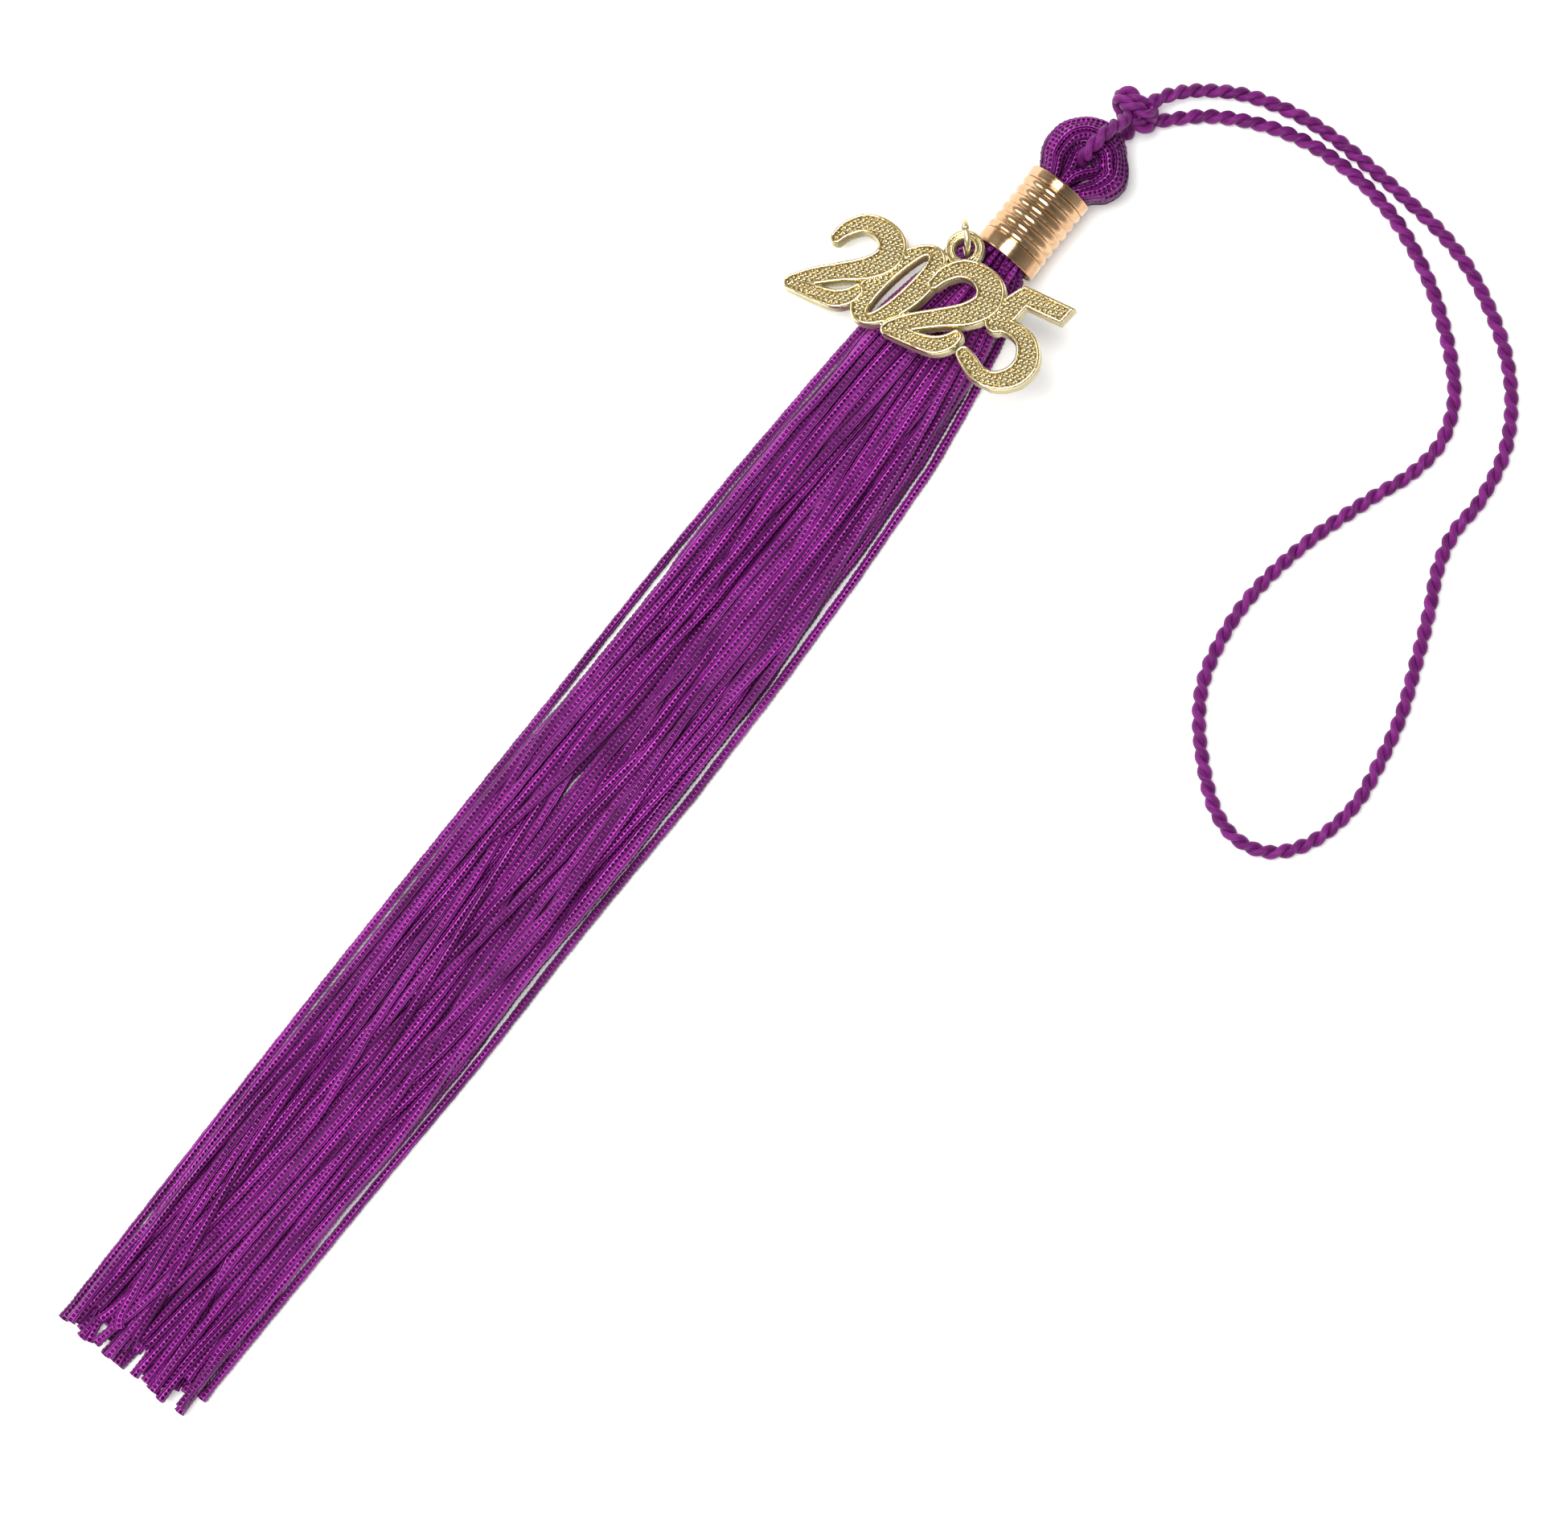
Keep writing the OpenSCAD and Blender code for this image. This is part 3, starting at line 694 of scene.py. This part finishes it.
def knitted_tube(name, line, run, size, tone, roll):
    """A strand's surface along a line, with each stitch's rise where its finish has it, and painted shade
    that darkens its underside. size is the diameter and roll the turn of the tube at each point of the line."""
    across, up, _ = directions(line, (1, 0, 0))
    rolled = across * np.cos(roll)[:, None] + up * np.sin(roll)[:, None]
    rings = rings_round(line, size / 2, LEG_SIDES, rolled, np.cross(np.cross(across, up), rolled))
    turn = np.arange(LEG_SIDES) / LEG_SIDES * STITCH_COLUMNS + 0.5
    near_middle = 1 - 2 * np.abs(turn - np.floor(turn) - 0.5)
    wave = np.cos(run * 2 * math.pi / STITCH_LENGTH)[:, None]
    rise = STITCH_RISE * (wave * near_middle - COLUMN_SINK * (1 - near_middle))
    spoke = (rings - line[:, None]) / (size[:, None, None] / 2)
    rings = rings + spoke * rise[:, :, None]
    rings[:, :, 2] = np.maximum(rings[:, :, 2], TABLE_GAP)
    # Painted shade: the tone falls off round the tube towards its underside
    shade = np.clip(tone[:, None] - UNDERSIDE_PAINTED_SHADE * (1 - spoke[:, :, 2]) / 2, LEAST_TONE, 1)
    return skinned(name, [(rings, run, shade)])


# Legs that lie highest come first
height_of = leg_z[:, len(stations) // 3:].mean(1)
for order, i in enumerate(np.argsort(-height_of)):
    file, row, side = legs[i]
    strand = strand_names[seats.index((file, row))]
    stray_turn = math.radians(137 * seats.index((file, row)) + 70 * side)
    reach = LEG_LENGTH + STRAY * math.sin(stray_turn)
    course = np.column_stack([leg_x[i], -stations, leg_z[i], leg_size])
    course[-1, 1] = -reach
    bare = smooth_line(course, 14)
    line, run = even_steps(bare[:, :3], LEG_STEP)
    bare_run = np.concatenate([[0], np.cumsum(np.linalg.norm(np.diff(bare[:, :3], axis=0), axis=1))])
    size = np.interp(run, bare_run, bare[:, 3])
    uneven = waves(1, run, (0.035, 1.1, i), (0.025, 2.9, 2.3 * i))
    flare = 1 + FRAY * np.clip((run - run[-1] + FRAY_LENGTH) / FRAY_LENGTH, 0, 1)
    tone = waves(0.92, run, (0.12, 0.045, 1.7 * i), (0.10, 0.31, 0.9 * i))
    roll = waves(0, run, (0.28, 0.022, 2.1 * i), (0.12, 0.09, i))
    name = f"{strand}_{'right' if side > 0 else 'left'}_leg"
    mesh = knitted_tube(name, line, run, size * DRAWN_SHARE * uneven * flare, tone, roll)
    leg = fitted(name, mesh, "tassel", "knitted_rayon", knit_finish)
    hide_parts(strand)

# The folds: each strand leaves the ferrule, swells into the lobe on its side and is drawn up over
# the eye, where the cord pulls the arch narrow. Strands in a lobe lie unevenly and a little crossed.
EYE_R = 1.5
FOLD_PITCH = 1.3
FOLD_Z = 5.45
FOLD_D = 1.34
FOLD_WEAVE = 0.325
FOLD_STRAY = 0.14
LOBE_LEAN = 0.7
# Height of a row in each lobe, from the inner file to the outer, and the arch in the table's plane:
# where its points lie on it in degrees, how much it narrows to its top and how round it is
LOBE_CROWN = (0.60, 0.66, 0.64, 0.60)
ARCH_ANGLES = (6, 30, 54, 74)
ARCH_NARROWS = 0.13
ARCH_ROUND = 0.94
ARCH_TOP = 0.96
ARCH_Y = EYE_Y + 0.2
# On the way up: where strands are still packed, then where the lobe begins, with the share of the
# way to the arch that the inner file and the others have gone by there
PACKED_Y = (0.5, 7.0, 12.6)
LOBE_Y = (14.8, 16.6)
INNER_SHARES = (0.02, 0.35)
OUTER_SHARES = (0.36, 0.80)
FOLD_SWELLS_OVER = 1.6
uneven_fold = np.random.default_rng(11)
for seat, (file, row) in enumerate(seats):
    radius = EYE_R + (file + 0.5) * FOLD_PITCH + weave_of(file, row) * FOLD_WEAVE
    packed_z = BUNDLE_Z + seat_level(file, row) * PACKED_PITCH
    fold_z = FOLD_Z + seat_level(file, row) * LOBE_CROWN[file]
    shares = INNER_SHARES if file == 0 else OUTER_SHARES
    fold_route = []
    for side in (-1, 1):
        packed_x = side * (file + 0.5) * PACKED_PITCH
        packed = [(packed_x, y, packed_z) for y in PACKED_Y]
        swelling = [
            (packed_x + (side * radius - packed_x) * share + LOBE_LEAN * share, y,
             packed_z + (fold_z - packed_z) * share)
            for share, y in zip(shares, LOBE_Y)
        ]
        arch = [
            (side * radius * math.cos(math.radians(a)) * (1 - ARCH_NARROWS * math.sin(math.radians(a)))
             + LOBE_LEAN * (1 - a / 100),
             ARCH_Y + radius * math.sin(math.radians(a)) * ARCH_ROUND, fold_z)
            for a in ARCH_ANGLES
        ]
        loose = np.array(swelling + arch)
        half = packed + (loose + uneven_fold.normal(0, FOLD_STRAY, loose.shape)).tolist()
        fold_route += half if side < 0 else [(0.1, ARCH_Y + radius * ARCH_TOP, fold_z)] + half[::-1]
    line, run = even_steps(smooth_line(fold_route, 16), LEG_STEP)
    past_ferrule = line[:, 1] - FERRULE_LENGTH
    swollen = np.clip((past_ferrule + FOLD_SWELLS_OVER / 2) / FOLD_SWELLS_OVER, 0, 1)
    size = (PACKED_D + (FOLD_D - PACKED_D) * swollen) * waves(1, run, (0.04, 1.3, seat))
    tone = waves(0.80, run, (0.14, 0.3, seat))
    roll = waves(0, run, (0.5, 0.11, seat))
    name = f"{strand_names[seat]}_fold"
    mesh = knitted_tube(name, line, run, size, tone, roll)
    fold = fitted(name, mesh, "tassel", "knitted_rayon", knit_finish)
    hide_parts(strand_names[seat])

# ---- Binding thread ----
# A thread wound tightly round the folded strands before the ferrule is closed over them. It holds
# the bundle together, and nothing of it shows once the ferrule is on.
THREAD_R = 4.49
THREAD_D = 0.34
THREAD_TURNS = 16
THREAD_START = 4.4
THREAD_PITCH = 0.9
THREAD_DARK = (0.08, 0.006, 0.09)
THREAD_LIGHT = (0.24, 0.03, 0.24)
wind = np.linspace(0, THREAD_TURNS * 2 * math.pi, THREAD_TURNS * 40)
thread_line = np.column_stack([
    THREAD_R * np.cos(wind),
    THREAD_START + wind / (2 * math.pi) * THREAD_D * THREAD_PITCH,
    BUNDLE_Z + THREAD_R * np.sin(wind),
])
thread_run = wind * THREAD_R
thread_across, thread_up, _ = directions(thread_line, (0, 1, 0))
thread_rings = rings_round(
    thread_line, np.full(len(wind), THREAD_D / 2), 6, thread_across, thread_up,
)

thread_finish, thread_tree, thread_shader = new_finish("binding_thread", Roughness=0.7)
thread_around, thread_along = yarn_places(thread_tree)
thread_streak = use_group(
    thread_tree, filaments, Around=thread_around, Along=thread_along, Twist=0.8, Count=2.0,
)["Streak"]
thread_tree.links.new(
    between(thread_tree, thread_streak, THREAD_DARK, THREAD_LIGHT),
    thread_shader.inputs["Base Color"],
)
raise_surface(thread_tree, thread_shader, thread_streak, 0.00003)
thread = fitted(
    "binding_thread_wound",
    skinned("binding_thread_wound", [(thread_rings, thread_run, np.full(len(wind), 0.5))]),
    "tassel", "binding_thread", thread_finish,
)
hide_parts("binding_thread")

# ---- Ferrule ----
# A short sleeve of thin rose-gold plated sheet, crimped round the bundle. Six rolled beads stiffen
# it, with a sharp groove between and beside them. Both lips are plain with a small rolled edge.
FERRULE_R = 5.15
BORE_R = 4.71
LOWER_LIP = 2.4
UPPER_LIP = 1.5
BEADS = 6
GROOVE_DEPTH = 0.38
GROOVE_SHARPNESS = 1.2
LIP_EDGE = 0.16
WALL_STEP = 0.06
FERRULE_SIDES = 160
# Crimping: how oval the sleeve is, and the dent's depth as a share of the radius, its place and
# its size, each as radians round and millimetres along
OVAL = 0.006
DENT = 0.012
DENT_AT = (2.0, 3.4)
DENT_SIZE = (0.22, 1.1)
bead_pitch = (FERRULE_LENGTH - LOWER_LIP - UPPER_LIP) / BEADS


def ferrule_profile():
    """Radius and distance along the ferrule's wall, from the inside of one lip to that of the other."""
    outside = []
    for y in np.arange(LIP_EDGE, FERRULE_LENGTH - 0.15, WALL_STEP):
        along = (y - LOWER_LIP) / bead_pitch
        radius = FERRULE_R
        if 0 < along < BEADS:
            radius -= GROOVE_DEPTH * (1 - abs(math.sin(math.pi * along))) ** GROOVE_SHARPNESS
        outside.append((radius, y))
    lip = [(BORE_R, 0.1), (BORE_R + 0.1, 0.0), (FERRULE_R - 0.12, 0.0), (FERRULE_R - 0.03, 0.06)]
    far_lip = [(r, FERRULE_LENGTH - y) for r, y in reversed(lip)]
    inside = [(BORE_R, y) for y in (FERRULE_LENGTH * 0.7, FERRULE_LENGTH * 0.3)]
    return lip + outside + far_lip + inside


profile = np.array(ferrule_profile())
round_turn = np.arange(FERRULE_SIDES) * 2 * math.pi / FERRULE_SIDES
# Hand crimping leaves the sleeve a little out of round, with one shallow dent near the skirt
out_of_round = (
    1 - OVAL * np.sin(2 * round_turn + 0.6)[None]
    - DENT * np.exp(-((round_turn - DENT_AT[0]) / DENT_SIZE[0]) ** 2)[None]
    * np.exp(-((profile[:, 1] - DENT_AT[1]) / DENT_SIZE[1]) ** 2)[:, None]
)
ferrule_rings = np.stack([
    profile[:, :1] * np.cos(round_turn)[None] * out_of_round,
    np.repeat(profile[:, 1:], FERRULE_SIDES, 1),
    BUNDLE_Z + profile[:, :1] * np.sin(round_turn)[None] * out_of_round,
], -1)
ferrule_points = placed(ferrule_rings).reshape(-1, 3)
ferrule_faces = []
for ring in range(len(profile)):
    for s in range(FERRULE_SIDES):
        after = (s + 1) % FERRULE_SIDES
        beyond = (ring + 1) % len(profile)
        ferrule_faces.append((
            ring * FERRULE_SIDES + s, beyond * FERRULE_SIDES + s,
            beyond * FERRULE_SIDES + after, ring * FERRULE_SIDES + after,
        ))
ferrule_mesh = bpy.data.meshes.new("ferrule_sleeve")
ferrule_mesh.from_pydata(ferrule_points.tolist(), [], ferrule_faces)
ferrule_mesh.shade_smooth()

# Wear of plated metal: cloudy patches, fine rubbed lines and small specks, from the object's place
wear, made_from, gives = new_group("plating_wear", ("Patch", "Rub"), ("Cloud", "Scratch"))
wear_place = wear.nodes.new("ShaderNodeTexCoord")
cloud = wear.nodes.new("ShaderNodeTexNoise")
cloud.inputs["Detail"].default_value = 5
wear.links.new(wear_place.outputs["Object"], cloud.inputs["Vector"])
wear.links.new(made_from["Patch"], cloud.inputs["Scale"])
wear.links.new(stretch(wear, cloud.outputs["Fac"], 0.35, 0.68), gives["Cloud"])
rub_place = wear.nodes.new("ShaderNodeMapping")
rub_place.inputs["Scale"].default_value = (1.0, 14.0, 1.0)
wear.links.new(wear_place.outputs["Object"], rub_place.inputs["Vector"])
rubbed = wear.nodes.new("ShaderNodeTexNoise")
rubbed.inputs["Detail"].default_value = 3
wear.links.new(rub_place.outputs[0], rubbed.inputs["Vector"])
wear.links.new(made_from["Rub"], rubbed.inputs["Scale"])
wear.links.new(stretch(wear, rubbed.outputs["Fac"], 0.3, 0.7), gives["Scratch"])


def plated(name, patch, rub, dark, light, smooth, scratched, depth, relief="Scratch"):
    """A plated metal: clouded from dark to light, rougher by scratched where it is rubbed than
    where it is smooth, with relief of that depth. Gives its colour and roughness as well."""
    finish, tree, shader = new_finish(name, Metallic=1.0)
    worn = use_group(tree, wear, Patch=patch, Rub=rub)
    colour = between(tree, worn["Cloud"], dark, light)
    rough = calc(tree, "MULTIPLY_ADD", worn["Scratch"], scratched, smooth)
    tree.links.new(colour, shader.inputs["Base Color"])
    tree.links.new(rough, shader.inputs["Roughness"])
    raise_surface(tree, shader, worn[relief], depth)
    return finish, tree, shader, colour, rough


foil_finish, *_ = plated(
    "rose_gold_foil", patch=420.0, rub=260.0, dark=(0.60, 0.37, 0.20), light=(0.78, 0.53, 0.31),
    smooth=0.13, scratched=0.08, depth=0.000003,
)
ferrule = fitted("ferrule_sleeve", ferrule_mesh, "tassel", "rose_gold_foil", foil_finish)
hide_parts("ferrule")

# ---- Jump ring ----
# A ring of pale gold plated wire, cut and closed by hand so that a narrow split stays open. It
# goes round two outer strands just below the ferrule and through the eyelet of the charm.
RING_AT = np.array([-6.1, -1.3, 7.951])
RING_R = 2.5
WIRE_D = 0.9
RING_TURN = math.radians(44)
# The wire starts and ends beside the split, in degrees round the ring
WIRE_STARTS = 160.4
WIRE_ENDS = 514.6
WIRE_STEPS = 120
WIRE_SIDES = 20
ring_angle = np.radians(np.linspace(WIRE_STARTS, WIRE_ENDS, WIRE_STEPS))
ring_side = RING_R * np.sin(ring_angle)
ring_line = RING_AT + np.column_stack([
    -ring_side * math.sin(RING_TURN), ring_side * math.cos(RING_TURN), -RING_R * np.cos(ring_angle),
])
ring_run = (ring_angle - ring_angle[0]) * RING_R
from_end = np.minimum(ring_run, ring_run[-1] - ring_run)
wire_r = WIRE_D / 2 * np.clip(0.86 + from_end * 0.9, 0, 1)
ring_across, ring_up, _ = directions(ring_line, (math.cos(RING_TURN), math.sin(RING_TURN), 0))
wire_rings = rings_round(ring_line, wire_r, WIRE_SIDES, ring_across, ring_up)
ring_mesh = skinned("jump_ring_wire", [(wire_rings, ring_run, np.full(WIRE_STEPS, 0.5))])
wire_finish, *_ = plated(
    "ring_wire", patch=700.0, rub=300.0, dark=(0.70, 0.62, 0.40), light=(0.86, 0.79, 0.56),
    smooth=0.30, scratched=0.12, depth=0.00001,
)
ring = fitted("jump_ring_wire", ring_mesh, "ring", "ring_wire", wire_finish)
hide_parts("jump_ring")

# ---- Year charm ----
# One casting, plated pale gold: four slanted numerals that overlap, each with a smooth raised rim
# round a sunk field of rounded points in a square grid, and a flat eyelet with two rims. Its sides
# are matte.
# Each stroke's point is [across, up, half the stroke's width] in the charm's own plane.
TWO_HOOK = [
    (-17.9, -5.2, 0.75), (-17.0, -3.2, 1.05), (-15.0, -1.4, 1.25), (-12.3, -1.2, 1.5),
    (-10.0, -2.4, 1.9), (-9.5, -4.7, 1.9), (-11.3, -7.2, 1.65), (-14.8, -9.5, 1.3),
    (-18.2, -11.8, 1.2), (-20.6, -13.7, 0.9),
]
TWO_FOOT = [
    (-20.8, -14.1, 0.95), (-18.8, -14.0, 1.0), (-16.2, -13.9, 1.05), (-13.7, -13.5, 1.2),
    (-12.0, -12.3, 1.1), (-11.2, -10.9, 0.8),
]
FIVE_STEM = [(11.3, -1.4, 1.2), (10.4, -3.8, 1.55), (9.5, -6.5, 1.5)]
FIVE_BOWL = [
    (9.8, -6.6, 0.95), (12.4, -6.35, 1.05), (14.9, -7.3, 1.35), (16.3, -9.8, 1.6),
    (15.6, -12.6, 1.5), (13.2, -14.4, 1.2), (10.6, -14.4, 1.1), (8.6, -13.4, 1.1),
    (7.4, -12.7, 0.95),
]
FIVE_FLAG = [(10.6, 0), (18.6, 0), (17.9, -2.5), (10.6, -2.5)]
TWO_STEP = 16.4
NOUGHT_AT = (-6.2, -7.6)
NOUGHT_HALF = (4.4, 7.4)
NOUGHT_SLOT = (1.25, 5.8)
ITALIC = math.tan(math.radians(19))
NUMERAL_DROP = 1.4
EYELET_R = 2.9
EYELET_HOLE_R = 1.5
EYELET_THICK = 1.6
RIM = 0.60
FIELD_SUNK = 0.38
POINT_PITCH = 0.80
POINT_HEIGHT = 0.27
EYELET_RIM = 0.24
EYELET_EDGE = -0.2
FAR_OUTSIDE = 9.0
GRID_TURN = math.radians(14)
# The grid that the charm is cut from, and the spread of it in the charm's own plane
GRAIN = 0.1
CHARM_ACROSS = (-22.3, 19.3)
CHARM_UP = (-17.2, 3.3)
SHARP_EDGE = math.radians(52)
# Plating and the soft edges of the casting fill the numerals out by this much on every side
SWELL = 0.25


def inside_stroke(points, across, up):
    """How deep each place lies inside a stroke: its half width less the distance from its line."""
    deep = np.full(across.shape, -FAR_OUTSIDE)
    line = smooth_line(points, 6)
    for (x0, y0, w0), (x1, y1, w1) in zip(line[:-1], line[1:]):
        share = ((across - x0) * (x1 - x0) + (up - y0) * (y1 - y0)) / ((x1 - x0) ** 2 + (y1 - y0) ** 2)
        share = np.clip(share, 0, 1)
        gap = np.hypot(across - x0 - share * (x1 - x0), up - y0 - share * (y1 - y0))
        deep = np.maximum(deep, w0 + share * (w1 - w0) - gap)
    return deep


def inside_oval(half, across, up):
    """How deep each place lies inside the slanted oval round the nought's middle."""
    x = across - NOUGHT_AT[0] - (up - NOUGHT_AT[1]) * ITALIC
    y = up - NOUGHT_AT[1]
    size = np.sqrt((x / half[0]) ** 2 + (y / half[1]) ** 2) + 1e-6
    slope = np.hypot(x / half[0] ** 2, y / half[1] ** 2 - ITALIC * x / half[0] ** 2) / size
    return (1 - size) / (slope + 1e-6)


def inside_outline(corners, across, up):
    """How deep each place lies inside a shape with straight sides, its corners given clockwise."""
    deep = np.full(across.shape, FAR_OUTSIDE)
    for (x0, y0), (x1, y1) in zip(corners, corners[1:] + corners[:1]):
        length = math.hypot(x1 - x0, y1 - y0)
        deep = np.minimum(deep, ((across - x0) * (y1 - y0) - (up - y0) * (x1 - x0)) / length)
    return deep


def charm_depths(across, up):
    """Depth inside each numeral, lowest first, and inside the eyelet, for places in the plane."""
    line = up + NUMERAL_DROP
    nought = np.minimum(
        inside_oval(NOUGHT_HALF, across, line), -inside_oval(NOUGHT_SLOT, across, line),
    )
    five = np.maximum(inside_stroke(FIVE_STEM, across, line), inside_stroke(FIVE_BOWL, across, line))
    five = np.maximum(five, inside_outline(FIVE_FLAG, across, line))
    twos = [
        np.maximum(*(inside_stroke(stroke, across - step, line) for stroke in (TWO_HOOK, TWO_FOOT)))
        for step in (0, TWO_STEP)
    ]
    from_eyelet = np.hypot(across, up)
    eyelet = np.minimum(EYELET_R - from_eyelet, from_eyelet - EYELET_HOLE_R)
    return [numeral + SWELL for numeral in (nought, five, *twos)], eyelet


def eased(value, low, high):
    """Nought below low, one above high and a smooth rise between them."""
    t = np.clip((value - low) / (high - low), 0, 1)
    return t * t * (3 - 2 * t)


def rim_rise(deep):
    """Height of a rounded rim: nought at the edge, one on its crest and nought inside it."""
    return eased(deep, -0.02, 0.2) * (1 - eased(deep, RIM - 0.16, RIM + 0.02))


def charm_relief(across, up):
    """Heights of the front and the back, and how much painted shade, with a little dark patina, darkens and
    dulls the front at places inside.
    """
    numerals, eyelet = charm_depths(across, up)
    front = np.zeros(across.shape)
    recess_shade_and_patina = np.zeros(across.shape)
    a = (across * math.cos(GRID_TURN) + up * math.sin(GRID_TURN)) / POINT_PITCH
    b = (up * math.cos(GRID_TURN) - across * math.sin(GRID_TURN)) / POINT_PITCH
    points = np.sin(math.pi * (a - np.floor(a))) * np.sin(math.pi * (b - np.floor(b)))
    # Painted shade, with a little dark patina, in the thin valleys between the points
    valleys = (1 - points) ** 3
    half = CHARM_THICK / 2
    ring_top = EYELET_THICK / 2 - EYELET_RIM + EYELET_RIM * rim_rise(eyelet)
    front = np.where(eyelet > EYELET_EDGE, ring_top, front)
    # Painted shade at half strength on the eyelet between its rims
    recess_shade_and_patina = np.where(eyelet > RIM, 0.5, recess_shade_and_patina)
    on_numeral = np.zeros(across.shape, bool)
    for deep in numerals:
        rim = rim_rise(deep)
        inner = eased(deep, RIM - 0.1, RIM + 0.06)
        # Painted shade: a dark line in the groove beside each rim
        beside_rim = np.exp(-((deep - RIM - 0.02) / 0.12) ** 2)
        top = half - FIELD_SUNK + FIELD_SUNK * rim + inner * POINT_HEIGHT * points
        here = deep > 0
        front = np.where(here, top, front)
        recess_shade_and_patina = np.where(here, np.maximum(inner * valleys, beside_rim), recess_shade_and_patina)
        on_numeral |= here
    front = np.where((eyelet <= EYELET_EDGE) & ~on_numeral, half - FIELD_SUNK, front)
    back = np.where(on_numeral, -half, -EYELET_THICK / 2)
    return front, back, recess_shade_and_patina


def cast_charm():
    """The charm's mesh: a fine grid cut off along the outline, with its front, back and sides."""
    across, up = np.meshgrid(
        np.arange(*CHARM_ACROSS, GRAIN), np.arange(*CHARM_UP, GRAIN), indexing="ij",
    )
    numerals, eyelet = charm_depths(across, up)
    deep = np.maximum(np.max(numerals, 0), eyelet)
    inside = deep > 0
    cell = inside[:-1, :-1] | inside[1:, :-1] | inside[:-1, 1:] | inside[1:, 1:]
    slope_x, slope_y = np.gradient(deep, GRAIN)
    slope = np.maximum(slope_x ** 2 + slope_y ** 2, 0.3)
    for _ in range(2):
        across = np.where(inside, across, across - slope_x * deep / slope)
        up = np.where(inside, up, up - slope_y * deep / slope)
        numerals, eyelet = charm_depths(across, up)
        deep = np.where(inside, deep, np.maximum(np.max(numerals, 0), eyelet))
    front, back, recess_shade_and_patina = charm_relief(across, up)
    used = np.zeros(across.shape, bool)
    for shift_x, shift_y in ((0, 0), (1, 0), (1, 1), (0, 1)):
        used[shift_x:shift_x + cell.shape[0], shift_y:shift_y + cell.shape[1]] |= cell
    number = np.full(across.shape, -1)
    number[used] = np.arange(used.sum())
    i, j = np.nonzero(cell)
    quads = np.stack([number[i, j], number[i + 1, j], number[i + 1, j + 1], number[i, j + 1]], -1)
    count = int(used.sum())
    edges = np.concatenate([quads[:, [k, (k + 1) % 4]] for k in range(4)])
    known = set(map(tuple, edges.tolist()))
    outline = [(p, q) for p, q in known if (q, p) not in known]
    sides = [(p, p + count, q + count, q) for p, q in outline]
    faces = quads.tolist() + (quads[:, ::-1] + count).tolist() + sides
    flat = np.column_stack([across[used], up[used]])
    corners = np.vstack([
        np.column_stack([flat, front[used]]), np.column_stack([flat, back[used]]),
    ])
    turned = corners @ np.array(CHARM_TURNS.to_matrix()).T + EYELET_AT
    mesh = bpy.data.meshes.new("year_charm_cast")
    mesh.from_pydata(placed(turned).tolist(), [], faces)
    hollow_shade_and_patina = np.concatenate([recess_shade_and_patina[used], np.zeros(count)])
    mesh.attributes.new("hollow_shade_and_patina", "FLOAT", "POINT").data.foreach_set("value", hollow_shade_and_patina)
    dull = np.zeros(len(faces), int)
    dull[len(quads):] = 1
    mesh.polygons.foreach_set("material_index", dull)
    mesh.shade_smooth()
    mesh.set_sharp_from_angle(angle=SHARP_EDGE)
    return mesh


# Colour of the painted shade, with a little dark patina, in the front's recesses
HOLLOW_SHADE_AND_PATINA_COLOUR = (0.26, 0.18, 0.06)
HOLLOW_ROUGHER = 0.25
gold_finish, gold_tree, gold_shader, gold_colour, gold_rough = plated(
    "cast_gold", patch=500.0, rub=240.0, dark=(0.80, 0.67, 0.38), light=(0.90, 0.79, 0.50),
    smooth=0.14, scratched=0.08, depth=0.000008,
)
# The sunk places of the front are darker and rougher: painted shade with a little dark patina
hollow_node = gold_tree.nodes.new("ShaderNodeAttribute")
hollow_node.attribute_name = "hollow_shade_and_patina"
hollow_shade_and_patina = hollow_node.outputs["Fac"]
gold_tree.links.new(
    between(gold_tree, hollow_shade_and_patina, gold_colour, HOLLOW_SHADE_AND_PATINA_COLOUR), gold_shader.inputs["Base Color"],
)
gold_tree.links.new(
    calc(gold_tree, "MULTIPLY_ADD", hollow_shade_and_patina, HOLLOW_ROUGHER, gold_rough), gold_shader.inputs["Roughness"],
)
side_finish, *_ = plated(
    "cast_gold_matte", patch=900.0, rub=500.0, dark=(0.56, 0.50, 0.30), light=(0.66, 0.60, 0.38),
    smooth=0.48, scratched=0.12, depth=0.00003, relief="Cloud",
)
charm = fitted("year_charm_cast", cast_charm(), "charm", "cast_gold", gold_finish, side_finish)
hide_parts("year_charm")
